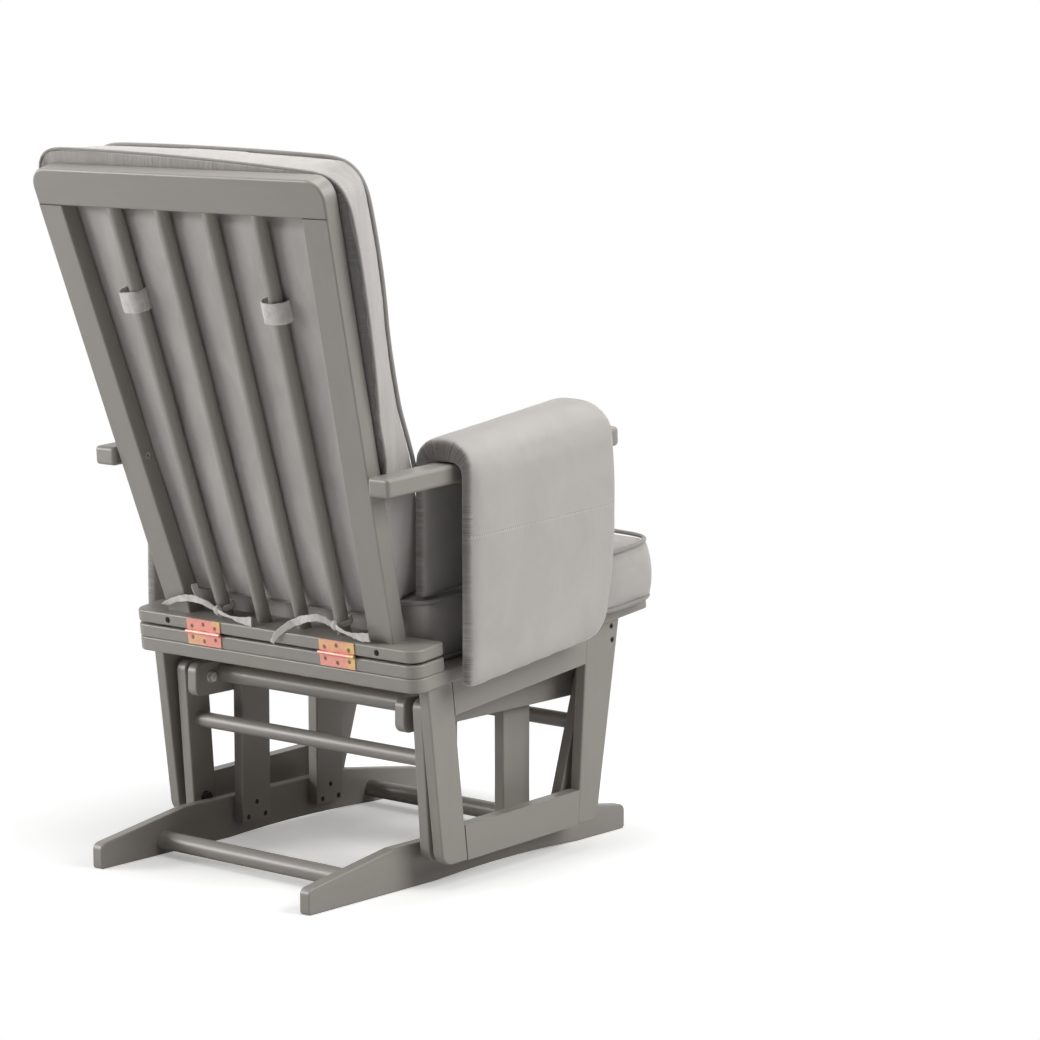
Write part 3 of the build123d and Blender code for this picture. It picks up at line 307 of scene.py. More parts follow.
def metal_group():
    """Plated steel: brushed streaks and a clouded plating tint."""
    group, start, end = new_group(
        "plated_steel",
        [
            ("Coordinates", "NodeSocketVector", None),
            ("Plating", "NodeSocketColor", (0.62, 0.6, 0.57, 1)),
            ("Second Tint", "NodeSocketColor", (0.55, 0.52, 0.5, 1)),
            ("Cloud Scale", "NodeSocketFloat", 60.0),
        ],
        [("Colour", "NodeSocketColor"), ("Roughness", "NodeSocketFloat"), ("Height", "NodeSocketFloat")],
    )
    link = group.links.new
    cloud = add_node(group, "ShaderNodeTexNoise", in_3=3.0, in_4=0.55)
    link(start.outputs["Coordinates"], cloud.inputs["Vector"])
    link(start.outputs["Cloud Scale"], cloud.inputs["Scale"])
    stretch = (300.0, 2500.0, 2500.0)
    streak_space = add_node(group, "ShaderNodeVectorMath", operation="MULTIPLY", in_1=stretch)
    link(start.outputs["Coordinates"], streak_space.inputs[0])
    streak = add_node(group, "ShaderNodeTexNoise", in_2=1.0, in_3=2.0, in_4=0.5)
    link(streak_space.outputs[0], streak.inputs["Vector"])
    spread = add_node(group, "ShaderNodeMapRange", in_1=0.47, in_2=0.66)
    link(cloud.outputs["Fac"], spread.inputs[0])
    tint = add_node(group, "ShaderNodeMix", data_type="RGBA")
    link(spread.outputs[0], tint.inputs["Factor"])
    link(start.outputs["Plating"], tint.inputs["A"])
    link(start.outputs["Second Tint"], tint.inputs["B"])
    link(tint.outputs["Result"], end.inputs["Colour"])
    rough = add_node(group, "ShaderNodeMapRange", in_1=0.3, in_2=0.7, in_3=0.24, in_4=0.42)
    link(streak.outputs["Fac"], rough.inputs[0])
    link(rough.outputs[0], end.inputs["Roughness"])
    link(streak.outputs["Fac"], end.inputs["Height"])
    return group


lacquer_effect = lacquer_group()
velvet_effect = velvet_group()
metal_effect = metal_group()
seam_effect = pocket_seam_group()


def new_material(name):
    """A material with its shader, output and Object coordinates."""
    material = bpy.data.materials.new(name)
    material.use_nodes = True
    tree = material.node_tree
    shader = tree.nodes["Principled BSDF"]
    coordinates = tree.nodes.new("ShaderNodeTexCoord")
    return material, tree, shader, coordinates.outputs["Object"]


def place_group(tree, group, coordinates, **values):
    """The node of a shared effect in a material, with this finish's own values."""
    node = tree.nodes.new("ShaderNodeGroup")
    node.node_tree = group
    tree.links.new(coordinates, node.inputs["Coordinates"])
    for label, value in values.items():
        node.inputs[label.replace("_", " ")].default_value = value
    return node


def add_bump(tree, shader, height, strength, distance):
    """A bump from a height output into the shader's normal."""
    bump = tree.nodes.new("ShaderNodeBump")
    bump.inputs["Strength"].default_value = strength
    bump.inputs["Distance"].default_value = distance
    tree.links.new(height, bump.inputs["Height"])
    tree.links.new(bump.outputs["Normal"], shader.inputs["Normal"])


def lacquered_wood(name, colour, stretch):
    """Painted wood whose grain runs along the axis with the small stretch."""
    material, tree, shader, place = new_material(name)
    effect = place_group(tree, lacquer_effect, place, Colour=colour, Grain_Stretch=stretch)
    tree.links.new(effect.outputs["Colour"], shader.inputs["Base Color"])
    tree.links.new(effect.outputs["Roughness"], shader.inputs["Roughness"])
    shader.inputs["Coat Weight"].default_value = 0.12
    shader.inputs["Coat Roughness"].default_value = 0.3
    add_bump(tree, shader, effect.outputs["Height"], 0.12, 0.0004)
    return material


def velvet(name, colour, stretch, depth, reach=0.0, pitch=0.007, gathers=0.0, pocket=False):
    """Brushed cloth; gathers along the marked seam, painted shade along it and a pocket seam are drawn where
    asked.
    """
    material, tree, shader, place = new_material(name)
    effect = place_group(
        tree,
        velvet_effect,
        place,
        Colour=colour,
        Stroke_Stretch=stretch,
        Stroke_Depth=depth,
        Gather_Reach=reach or 0.001,
        Gather_Pitch=pitch,
        Gather_Depth=gathers,
    )
    for label, stored in (("Seam Gap", "seam_gap"), ("Seam Run", "seam_run"), ("Painted Seam Shade", "painted_seam_shade")):
        if gathers:
            value = add_node(tree, "ShaderNodeAttribute", attribute_name=stored)
            tree.links.new(value.outputs["Fac"], effect.inputs[label])
    if pocket:
        seam = place_group(tree, seam_effect, place)
        tree.links.new(effect.outputs["Colour"], seam.inputs["Colour"])
        tree.links.new(effect.outputs["Height"], seam.inputs["Height"])
        effect = seam
    tree.links.new(effect.outputs["Colour"], shader.inputs["Base Color"])
    shader.inputs["Roughness"].default_value = 0.85
    shader.inputs["Sheen Weight"].default_value = 0.75
    shader.inputs["Sheen Roughness"].default_value = 0.35
    shader.inputs["Sheen Tint"].default_value = (0.95, 0.94, 0.92, 1)
    add_bump(tree, shader, effect.outputs["Height"], 0.35, 0.0014)
    return material


def plated_steel(name, plating, second, scale, metallic=1.0):
    """Plated metal with two tints of plating, or less metallic where the plating is dull."""
    material, tree, shader, place = new_material(name)
    effect = place_group(tree, metal_effect, place, Plating=plating, Second_Tint=second, Cloud_Scale=scale)
    tree.links.new(effect.outputs["Colour"], shader.inputs["Base Color"])
    tree.links.new(effect.outputs["Roughness"], shader.inputs["Roughness"])
    shader.inputs["Metallic"].default_value = metallic
    add_bump(tree, shader, effect.outputs["Height"], 0.06, 0.0002)
    return material


frame_colour = (0.285, 0.266, 0.24, 1)
cloth_colour = (0.44, 0.42, 0.4, 1)
lacquer_upright = lacquered_wood("lacquer_upright_grain", frame_colour, (70.0, 70.0, 5.0))
lacquer_across = lacquered_wood("lacquer_cross_grain", frame_colour, (5.0, 70.0, 70.0))
lacquer_deep = lacquered_wood("lacquer_fore_aft_grain", frame_colour, (70.0, 5.0, 70.0))
pine = lacquered_wood("sanded_pine", (0.5, 0.37, 0.23, 1), (5.0, 90.0, 90.0))
seat_velvet = velvet("velvet_seat", cloth_colour, (26.0, 12.0, 26.0), 0.16)
back_velvet = velvet("velvet_back", cloth_colour, (34.0, 34.0, 6.0), 0.2, 0.03, 0.009, 0.45)
pad_velvet = velvet("velvet_pads", cloth_colour, (16.0, 16.0, 12.0), 0.1, 0.007, 0.006, 1.1, True)
# painted shade: the trim cloth of the piping is darker than the cover, standing in for the shadow line along
# each cord
shadow_dark_trim = velvet("velvet_trim_shadow_dark", (0.3, 0.285, 0.27, 1), (60.0, 60.0, 60.0), 0.14)
strap_velvet = velvet("velvet_straps", (0.66, 0.64, 0.61, 1), (90.0, 90.0, 90.0), 0.3)
zinc = plated_steel("zinc_plate", (0.8, 0.79, 0.76, 1), (0.6, 0.59, 0.57, 1), 70.0, 0.7)
warm_zinc = plated_steel("yellow_zinc_plate", (0.9, 0.38, 0.32, 1), (0.82, 0.62, 0.22, 1), 32.0, 0.3)
screw_zinc = plated_steel("screw_zinc", (0.42, 0.24, 0.15, 1), (0.3, 0.2, 0.12, 1), 200.0)
dark_screw = plated_steel("darkened_screws", (0.1, 0.09, 0.085, 1), (0.06, 0.055, 0.05, 1), 200.0)

bush_plastic, tree, shader, place = new_material("bush_plastic")
shader.inputs["Roughness"].default_value = 0.5
speckle = tree.nodes.new("ShaderNodeTexNoise")
speckle.inputs["Scale"].default_value = 900.0
tree.links.new(place, speckle.inputs["Vector"])
shade = add_node(tree, "ShaderNodeMapRange", in_1=0.3, in_2=0.7, in_3=0.02, in_4=0.045)
tree.links.new(speckle.outputs["Fac"], shade.inputs[0])
tree.links.new(shade.outputs[0], shader.inputs["Base Color"])
add_bump(tree, shader, speckle.outputs["Fac"], 0.1, 0.0002)

finishes = {
    "runner": lacquer_deep,
    "hanger_rail": lacquer_deep,
    "upright": lacquer_upright,
    "floor_stretcher": lacquer_across,
    "hanger_stretcher": lacquer_across,
    "rear_link_stretcher": lacquer_across,
    "front_link_stretcher": lacquer_across,
    "rear_link_bushes": bush_plastic,
    "front_link_bushes": bush_plastic,
    "rear_link": lacquer_upright,
    "front_link": lacquer_upright,
    "rear_leg": lacquer_upright,
    "front_leg": lacquer_upright,
    "side_rail": lacquer_deep,
    "deck_side": lacquer_deep,
    "deck_": lacquer_across,
    "hinge_rail": lacquer_across,
    "back_foot_rail": lacquer_across,
    "back_top_rail": lacquer_across,
    "back_post": lacquer_upright,
    "back_slat": lacquer_upright,
    "arm_post": lacquer_upright,
    "arm_pad": pad_velvet,
    "arm_bolts": zinc,
    "arm_": lacquer_deep,
    "seat_slats": pine,
    "hinge_": warm_zinc,
    "hinge_screws": screw_zinc,
    "base_screws": dark_screw,
    "side_frame_screws": dark_screw,
    "lower_pivot_bolts": dark_screw,
    "seat_cushion": seat_velvet,
    "back_cushion": back_velvet,
    "cushion_straps": shadow_dark_trim,
}
for name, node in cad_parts.items():
    keys = [key for key in finishes if name.startswith(key)]
    finish = finishes[max(keys, key=len)] if keys else zinc
    node.data.materials.clear()
    node.data.materials.append(finish)

# ------------------------------------------------------------------ soft goods: shared steps
seat_tilt = math.radians(6.3)
back_lean = math.radians(17.45)
deck_up = Vector((0, math.sin(seat_tilt), math.cos(seat_tilt)))
back_out = Vector((0, -math.cos(back_lean), math.sin(back_lean)))
back_up = Vector((0, math.sin(back_lean), math.cos(back_lean)))
foot_place = Vector((0, 0.1509, 0.3427))    # foot of the back, on the middle plane
cushion_quad = 0.0065       # size of the quads on the cushions
pad_quad = 0.0055           # and on the arm pads
draw_in = 0.0012            # how far a cover is drawn in before it is filled
fill_frames = 20            # length of the filling
run_step = 0.004            # distance between the points that the gathers are counted along
seat_cord_radius = 0.003
rear_cord_radius = 0.0022
front_cord_radius = 0.0032


def select_only(obj):
    """Selects one object and makes it active."""
    bpy.ops.object.select_all(action="DESELECT")
    obj.select_set(True)
    bpy.context.view_layer.objects.active = obj


def edit_all():
    """Goes into edit mode with everything selected."""
    bpy.ops.object.mode_set(mode="EDIT")
    bpy.ops.mesh.select_all(action="SELECT")


def loose_copy(node_name, name):
    """A closed mesh with the shape of a CAD node, its split corners joined."""
    obj = bpy.data.objects.new(name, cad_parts[node_name].data.copy())
    bpy.context.scene.collection.objects.link(obj)
    obj.data.materials.clear()
    obj.data.name = name
    select_only(obj)
    edit_all()
    bpy.ops.mesh.remove_doubles(threshold=0.00003)
    bpy.ops.mesh.normals_make_consistent(inside=False)
    bpy.ops.object.mode_set(mode="OBJECT")
    return obj


def rim_of(obj, belongs, step=0.002):
    """The closed edge round the faces that `belongs` picks, as points `step` apart."""
    form = bmesh.new()
    form.from_mesh(obj.data)
    form.normal_update()
    chosen = {face for face in form.faces if belongs(face)}
    rim = [edge for edge in form.edges if sum(face in chosen for face in edge.link_faces) == 1]
    joined = {}
    for edge in rim:
        for vert in edge.verts:
            joined.setdefault(vert, []).append(edge)
    walk = [max(joined, key=lambda vert: (round(vert.co.z, 5), vert.co.x))]
    used = set()
    while True:
        ahead = [edge for edge in joined[walk[-1]] if edge not in used]
        if not ahead:
            break
        used.add(ahead[0])
        walk.append(ahead[0].other_vert(walk[-1]))
    points = [vert.co.copy() for vert in walk]
    form.free()
    spaced = [points[0]]
    for end in points[1:]:
        while (end - spaced[-1]).length > step:
            spaced.append(spaced[-1] + (end - spaced[-1]).normalized() * step)
    return spaced


def rounded(points, reach, passes=3):
    """The same closed run of points with its corners eased over `reach` points each way."""
    count = len(points)
    for _ in range(passes):
        points = [
            sum((points[(i + k) % count] for k in range(-reach, reach + 1)), Vector()) / (2 * reach + 1)
            for i in range(count)
        ]
    return points


def nearest_on(points):
    """A finder that gives the distance to a run of points and how far along it the nearest one lies."""
    tree = kdtree.KDTree(len(points))
    for index, point in enumerate(points):
        tree.insert(point, index)
    tree.balance()

    def look(place):
        _, index, gap = tree.find(place)
        return gap, index

    return look


def remeshed(obj, size, shrink):
    """Even quads over the shape, drawn in a little before it is filled."""
    select_only(obj)
    obj.data.remesh_voxel_size = size
    bpy.ops.object.voxel_remesh()
    edit_all()
    bpy.ops.mesh.vertices_smooth(factor=0.5, repeat=3)
    bpy.ops.transform.shrink_fatten(value=-shrink)
    bpy.ops.object.mode_set(mode="OBJECT")


def filled(
    obj, seams, limit, pressure=4.0, hold=0.005, tension=12.0, gain=1.0, side_gain=1.0, least=None
):
    """Blows the cover up against its seams, each point within limit(place, normal) of its start."""
    start = [vert.co.copy() for vert in obj.data.vertices]
    normals = [vert.normal.copy() for vert in obj.data.vertices]
    looks = [nearest_on(seam) for seam in seams]
    group = obj.vertex_groups.new(name="seams")
    held = [i for i, place in enumerate(start) if any(look(place)[0] < hold for look in looks)]
    group.add(held, 1.0, "REPLACE")
    select_only(obj)
    cloth = obj.modifiers.new("filling", "CLOTH")
    cloth.settings.use_pressure = True
    cloth.settings.uniform_pressure_force = pressure
    cloth.settings.mass = 0.3
    cloth.settings.quality = 5
    cloth.settings.tension_stiffness = tension
    cloth.settings.compression_stiffness = tension
    cloth.settings.shear_stiffness = 5
    cloth.settings.bending_stiffness = 0.6
    cloth.settings.vertex_group_mass = "seams"
    cloth.settings.effector_weights.gravity = 0
    cloth.collision_settings.use_collision = False
    for number in range(1, fill_frames + 1):
        bpy.context.scene.frame_set(number)
    bpy.ops.object.modifier_apply(modifier=cloth.name)
    bpy.context.scene.frame_set(1)
    obj.vertex_groups.clear()
    for vert, place, normal in zip(obj.data.vertices, start, normals):
        move = vert.co - place
        out = max(0.0, move.dot(normal))
        along = move - normal * move.dot(normal)
        most = limit(place, normal)
        if least:
            out = max(out, least(place, normal))
        out *= side_gain if abs(normal.z) < 0.6 else gain
        if along.length > 0.12 * most:
            along *= 0.12 * most / along.length
        vert.co = place + normal * min(out, most) + along


def smoothed(obj, passes):
    """Evens out the points of a mesh without changing its faces."""
    select_only(obj)
    edit_all()
    bpy.ops.mesh.vertices_smooth(factor=0.5, repeat=passes)
    bpy.ops.object.mode_set(mode="OBJECT")


def refined(obj, smooth_passes=2):
    """One subdivision and a light smoothing, so that creases stay soft."""
    select_only(obj)
    step = obj.modifiers.new("finer", "SUBSURF")
    step.levels = 1
    step.render_levels = 1
    bpy.ops.object.modifier_apply(modifier=step.name)
    smoothed(obj, smooth_passes)
    bpy.ops.object.shade_smooth()


def mark(obj, name, value_at):
    """Stores one number per point for the shader, worked out from the point's place."""
    layer = obj.data.attributes.new(name, "FLOAT", "POINT")
    for index, vert in enumerate(obj.data.vertices):
        layer.data[index].value = value_at(vert.co)


def as_mesh(name, run):
    """Turns a curve with its thickness into a mesh object."""
    obj = bpy.data.objects.new(name, run)
    bpy.context.scene.collection.objects.link(obj)
    select_only(obj)
    bpy.ops.object.convert(target="MESH")
    obj = bpy.context.object
    obj.data.name = name
    return obj


def piping(name, points, radius):
    """A round covered cord sewn along a seam."""
    run = bpy.data.curves.new(name, "CURVE")
    run.dimensions = "3D"
    run.bevel_depth = radius
    run.bevel_resolution = 3
    run.use_fill_caps = True
    line = run.splines.new("POLY")
    line.points.add(len(points) - 1)
    for spot, place in zip(line.points, points):
        spot.co = (*place, 1)
    line.use_cyclic_u = True
    obj = as_mesh(name, run)
    bpy.ops.object.shade_smooth()
    return obj


def finished(obj, body, material, node=None):
    """Dresses a piece, puts it on its body, and lets it take the place of a CAD node."""
    obj.data.materials.clear()
    obj.data.materials.append(material)
    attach(obj, body)
    if node:
        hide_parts(node)


def smoothstep(low, high, value):
    """0 at `low`, 1 at `high` and eased in between; it falls where `low` is above `high`."""
    share = min(1.0, max(0.0, (value - low) / (high - low)))
    return share * share * (3 - 2 * share)


# ------------------------------------------------------------------ seat cushion
cushion = loose_copy("seat_cushion", "seat_cushion_cover")
base_rim = rim_of(cushion, lambda face: face.normal.dot(deck_up) < -0.98)
top_rim = rim_of(cushion, lambda face: face.normal.dot(deck_up) > 0.98)
top_rim = rounded(top_rim[::2], 4)
base_rim = rounded(base_rim[::2], 4)
ear_line = -0.19       # y in front of which the ears stand clear of the arm posts


def seat_limit(place, normal):
    """The crown swells freely, the front and the ears bulge, the parts beside the frame stay flat."""
    up = normal.dot(deck_up)
    if up > 0.6:
        flat_to_pads = smoothstep(0.236, 0.205, abs(place.x)) if place.y > -0.2 else 1.0
        flat_to_back = smoothstep(0.02, -0.06, place.y)
        return 0.004 + 0.022 * flat_to_back * flat_to_pads
    if up < -0.6:
        return 0.0003
    if place.y > ear_line:
        return 0.002
    return 0.0005 + 0.0125 * smoothstep(ear_line, ear_line - 0.02, place.y)


base_level = sum(point.dot(deck_up) for point in base_rim) / len(base_rim)
top_level = sum(point.dot(deck_up) for point in top_rim) / len(top_rim)


def seat_least(place, normal):
    """The boxed sides of the ears belly out at least this far between their two seams."""
    if abs(normal.dot(deck_up)) > 0.6:
        return 0.0
    share = min(1.0, max(0.0, (place.dot(deck_up) - base_level) / (top_level - base_level)))
    return 0.026 * share * (1 - share) * smoothstep(ear_line, ear_line - 0.04, place.y) / 3


def eased(place):
    """The ears in front of the arms push out a little past their pattern."""
    share = smoothstep(ear_line, ear_line - 0.04, place.y)
    out = 0.0045 * share * smoothstep(0.15, 0.26, abs(place.x))
    return place + Vector((math.copysign(out, place.x), -0.6 * out, 0))


remeshed(cushion, cushion_quad, draw_in)
filled(cushion, (top_rim, base_rim), seat_limit, side_gain=3.0, least=seat_least)
refined(cushion)
for vert in cushion.data.vertices:
    vert.co = eased(vert.co)
top_rim = [eased(place) for place in top_rim]
base_rim = [eased(place) for place in base_rim]
seam_at = nearest_on(top_rim)
mark(cushion, "seam_gap", lambda place: seam_at(place)[0])
mark(cushion, "seam_run", lambda place: seam_at(place)[1] * run_step)
finished(cushion, "seat", seat_velvet, "seat_cushion")
seat_middle = sum(top_rim, Vector()) / len(top_rim)


def set_out(points, middle, along, out, rise):
    """A seam's points moved `out` away from the middle, square to `along`, and `rise` along it."""
    moved = []
    for point in points:
        away = point - middle
        away -= along * away.dot(along)
        moved.append(point + away.normalized() * out + along * rise)
    return moved


for level, rim, rise in (("top", top_rim, 0.0005), ("base", base_rim, 0.0034)):
    cord_run = set_out(rim, seat_middle, deck_up, 0.002, rise)
    cord = piping(f"seat_cushion_piping_{level}", cord_run, seat_cord_radius)
    finished(cord, "seat", shadow_dark_trim)

# ------------------------------------------------------------------ back cushion
cushion = loose_copy("back_cushion", "back_cushion_cover")
rear_rim = rim_of(cushion, lambda face: face.normal.dot(back_out) < -0.98)
front_rim = rim_of(cushion, lambda face: face.normal.dot(back_out) > 0.98)
rear_rim = rounded(rear_rim[::2], 4)
front_rim = rounded(front_rim[::2], 4)
slat_clear = 0.0122     # the cloth hugs the slats at this distance from their middle lines
cushion_foot = 0.03     # height up the back where the cushion starts


def up_the_back(place):
    """(distance up the back, distance in front of the rear faces of the posts)."""
    away = place - foot_place
    return away.dot(back_up), away.dot(back_out)


def slat_pitch(up):
    """Distance from one slat to the next; the slats fan out up the back."""
    return 0.0746 + 0.0146 * up / 0.601


def slat_gap(place):
    """Room behind the rear panel: little at posts, slats and top rail, more between the slats."""
    up, _ = up_the_back(place)
    pitch = slat_pitch(up)
    post_inner = 0.1684 + 0.09 * up
    post_outer = post_inner + 0.045
    across = abs(place.x)
    gaps = [abs(across - line) for line in (0.5 * pitch, 1.5 * pitch)]
    room = 0.0148 + 0.003 * smoothstep(0.012, 0.034, min(gaps))
    for off in gaps:
        room = min(room, 0.0148 - math.sqrt(max(0.0, slat_clear**2 - off**2)))
    room = min(room, 0.0002 + 0.0155 * smoothstep(cushion_foot, cushion_foot + 0.045, up))
    room = min(room, 0.0002 + 0.0135 * smoothstep(0.0, 0.03, max(post_inner - across, across - post_outer)))
    room = min(room, 0.0002 + 0.0135 * smoothstep(0.596, 0.562, up))
    return room


def back_limit(place, normal):
    """The front panel swells freely, the rear one only as far as the frame lets it."""
    facing = normal.dot(back_out)
    up, out = up_the_back(place)
    if facing < -0.6:
        return slat_gap(place)
    if facing > 0.6:
        low = smoothstep(0.06, 0.14, up)
        return 0.003 + 0.022 * low
    if normal.dot(deck_up) < -0.5:
        return 0.0005
    return 0.001 + 0.0035 * smoothstep(0.31, 0.36, up) + 0.004 * smoothstep(0.63, 0.66, up)


def settled(place):
    """The cushion has slumped: its front panel sits over to the left, its crown is higher there."""
    up, out = up_the_back(place)
    share = min(1.0, max(0.0, (out - 0.0268) / 0.091))
    across = 0.019 * share * smoothstep(0.24, 0.42, up)
    rise = place.x * (0.04 - 0.026 * share) * smoothstep(0.5, 0.64, up)
    flare = 0.0095 * (1 - share) * smoothstep(0.16, 0.235, up) * smoothstep(0.32, 0.25, up)
    flare += 0.0105 * share * smoothstep(0.0, 0.08, up) * smoothstep(0.3, 0.2, up)
    across += math.copysign(flare, place.x) * smoothstep(0.1, 0.17, abs(place.x))
    return place + Vector((across, 0, 0)) + back_up * rise


remeshed(cushion, cushion_quad, draw_in)
filled(cushion, (rear_rim, front_rim), back_limit)
refined(cushion)
for vert in cushion.data.vertices:
    vert.co = settled(vert.co)
rear_rim = [settled(place) for place in rear_rim]
front_rim = [settled(place) for place in front_rim]
seam_at = nearest_on(rear_rim)
mark(cushion, "seam_gap", lambda place: seam_at(place)[0])
mark(cushion, "seam_run", lambda place: seam_at(place)[1] * run_step)


def shade_beyond_posts(place):
    """How far a point belongs to the strips of the rear panel that stand out past the posts, times the
    painted shade these strips get where they lie in shade.
    """
    up, out = up_the_back(place)
    edge = 0.2134 + 0.09 * up
    return 0.45 * smoothstep(0.033, 0.028, out) * smoothstep(edge - 0.02, edge - 0.005, abs(place.x))


# painted shade on the rear-panel strips that stand out past the posts
mark(cushion, "painted_seam_shade", shade_beyond_posts)
finished(cushion, "back", back_velvet, "back_cushion")
rear_run = [place + back_out * 0.0026 for place in rear_rim]
for face, cord_run, radius in (
    ("rear", rear_run, rear_cord_radius),
    ("front", front_rim, front_cord_radius),
):
    cord = piping(f"back_cushion_piping_{face}", cord_run, radius)
    finished(cord, "back", shadow_dark_trim)

# ------------------------------------------------------------------ arm pads
arm_middle = 0.2565         # x of the middle line of an arm
sheet_middle = 0.0412       # from there to the middle of the sheet on either side


def draped(place, sign, low, high):
    """Draws the drape in to the full curves of soft cloth: an arch over the arm and a deep nose in front."""
    top = 0.617 + 0.037 * (high[1] - place.y) / (high[1] - low[1])
    half = 0.0545
    depth = 0.05
    across = abs(place.x) - arm_middle
    rise = place.z - (top - depth)
    reach = math.hypot(across / half, rise / depth)
    if rise > 0 and reach > 1:
        place = Vector((sign * (arm_middle + across / reach), place.y, top - depth + rise / reach))
    edge = smoothstep(-0.11, -0.18, place.y)
    bow = -0.006 * smoothstep(0.4, 0.47, place.z) * smoothstep(0.62, 0.52, place.z)
    place = place + Vector((0, edge * (bow + 0.009 * smoothstep(0.42, 0.34, place.z)), 0))
    length = 0.042
    depth = 0.078
    ahead = low[1] - 0.003 + length - place.y
    rise = place.z - (0.654 - depth)
    reach = math.hypot(ahead / length, rise / depth)
    if ahead > 0 and rise > 0 and reach > 1:
        place = Vector((place.x, low[1] - 0.003 + length - ahead / reach, 0.654 - depth + rise / reach))
    return place


for side, sign in (("left", 1), ("right", -1)):
    pad = loose_copy(f"arm_pad_{side}", f"arm_pad_{side}_cover")
    low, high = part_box(f"arm_pad_{side}")
    rear_edge = high[1]
    pad_mid = sign * arm_middle

    def crown_share(place, normal):
        """How far a point belongs to the crown over the arm."""
        return smoothstep(-0.1, 0.8, normal.z) * smoothstep(0.555, 0.605, place.z)

    def pad_limit(place, normal):
        """The outer face, the crown and the front edge fill out; faces towards the arm stay put."""
        outer = smoothstep(0.03, 0.046, (place.x - pad_mid) * sign) * smoothstep(0.0, 0.6, normal.x * sign)
        front = smoothstep(0.04, -0.15, place.y)
        ends = max(0.4 * smoothstep(0.3, 0.8, normal.y), smoothstep(0.3, 0.8, -normal.y))
        crown = crown_share(place, normal)
        return 0.0005 + 0.005 * max(outer, ends) * (1 - crown) + (0.0045 + 0.006 * front) * crown

    def pad_least(place, normal):
        """The stuffing lifts the crown towards the front and pushes the front edge forward."""
        lift = (0.002 + 0.006 * smoothstep(0.06, -0.12, place.y)) * crown_share(place, normal)
        edge = 0.0045 * smoothstep(0.3, 0.42, place.z) * smoothstep(0.3, 0.8, -normal.y)
        return max(lift, edge)

    remeshed(pad, pad_quad, draw_in)
    filled(pad, (), pad_limit, pressure=3.0, gain=2.5, least=pad_least)
    for vert in pad.data.vertices:
        vert.co = draped(vert.co, sign, low, high)
    smoothed(pad, 5)
    refined(pad, 3)
    mark(pad, "seam_gap", lambda place: rear_edge - place.y)
    # the middle of the sheet at the rear edge: up the outside, over the arm, down the inside
    arch = [Vector((pad_mid + sign * sheet_middle, rear_edge, 0.28 + run_step * n)) for n in range(72)]
    arch += [
        Vector((
            pad_mid + sign * sheet_middle * math.cos(turn),
            rear_edge,
            0.566 + 0.036 * math.sin(turn),
        ))
        for turn in [math.radians(5 * n) for n in range(1, 36)]
    ]
    arch += [Vector((pad_mid - sign * sheet_middle, rear_edge, 0.564 - run_step * n)) for n in range(44)]
    run_at = nearest_on(arch)
    mark(pad, "seam_run", lambda place: run_at(Vector((place.x, rear_edge, place.z)))[1] * run_step)
    # painted shade on the rear-facing binding of the pad, strongest at the rear edge
    mark(pad, "painted_seam_shade", lambda place: 0.5 * smoothstep(0.006, 0.0, rear_edge - place.y))
    finished(pad, "seat", pad_velvet, f"arm_pad_{side}")

# ------------------------------------------------------------------ loops and ties round the outer slats
def slat_line(place, up, out=0.013):
    """Point on the middle line of a slat, or beside it at another depth."""
    return foot_place + back_up * up + back_out * out + Vector((place * slat_pitch(up), 0, 0))


def soft_wrinkles(obj, depth, scale):
    """Small uneven folds over a strip of cloth."""
    for vert in obj.data.vertices:
        vert.co += noise.noise_vector(vert.co * scale) * depth


wrinkle_seed = 7    # the folds of the straps come out the same in every run
noise.seed_set(wrinkle_seed)
outer_slats = (("left", 1.5), ("right", -1.5))    # place of each outer slat, in pitches from the middle
tab_fold = math.radians(145)    # where the loops are folded, seen along the slat
tab_across, tab_deep = 0.0185, 0.0148    # half sizes of a loop round its slat
straps = []
for name, place in outer_slats:
    middle = slat_line(place, 0.465, 0.0118) + Vector((0.006 + math.copysign(0.0035, place), 0, 0))
    run = slat_line(place, 0.6) - slat_line(place, 0.0)
    bpy.ops.object.select_all(action="DESELECT")
    bpy.ops.mesh.primitive_cylinder_add(vertices=40, radius=1, depth=0.03, end_fill_type="NOTHING")
    loop = bpy.context.object
    loop.name = f"cushion_loop_{name}"
    loop.data.name = loop.name
    edit_all()
    bpy.ops.transform.resize(value=(tab_across, tab_deep, 1))
    bpy.ops.mesh.subdivide(number_cuts=3)
    bpy.ops.object.mode_set(mode="OBJECT")
    for vert in loop.data.vertices:
        turn = math.atan2(vert.co.y / tab_deep, vert.co.x / tab_across) - tab_fold
        folded = 1.12 / (abs(math.cos(turn)) ** 1.5 + abs(math.sin(turn)) ** 1.5) ** 0.5
        vert.co.x *= folded
        vert.co.y *= folded
    loop.rotation_euler = run.to_track_quat("Z", "Y").to_euler()
    loop.location = middle
    bpy.ops.object.transform_apply(location=True, rotation=True, scale=True)
    soft_wrinkles(loop, 0.0011, 90.0)
    thick = loop.modifiers.new("cloth", "SOLIDIFY")
    thick.thickness = 0.0026
    thick.offset = 0.5
    bpy.ops.object.modifier_apply(modifier=thick.name)
    round_off = loop.modifiers.new("soft_edges", "BEVEL")
    round_off.width = 0.0009
    round_off.segments = 2
    bpy.ops.object.modifier_apply(modifier=round_off.name)
    bpy.ops.object.shade_smooth()
    straps.append(loop)


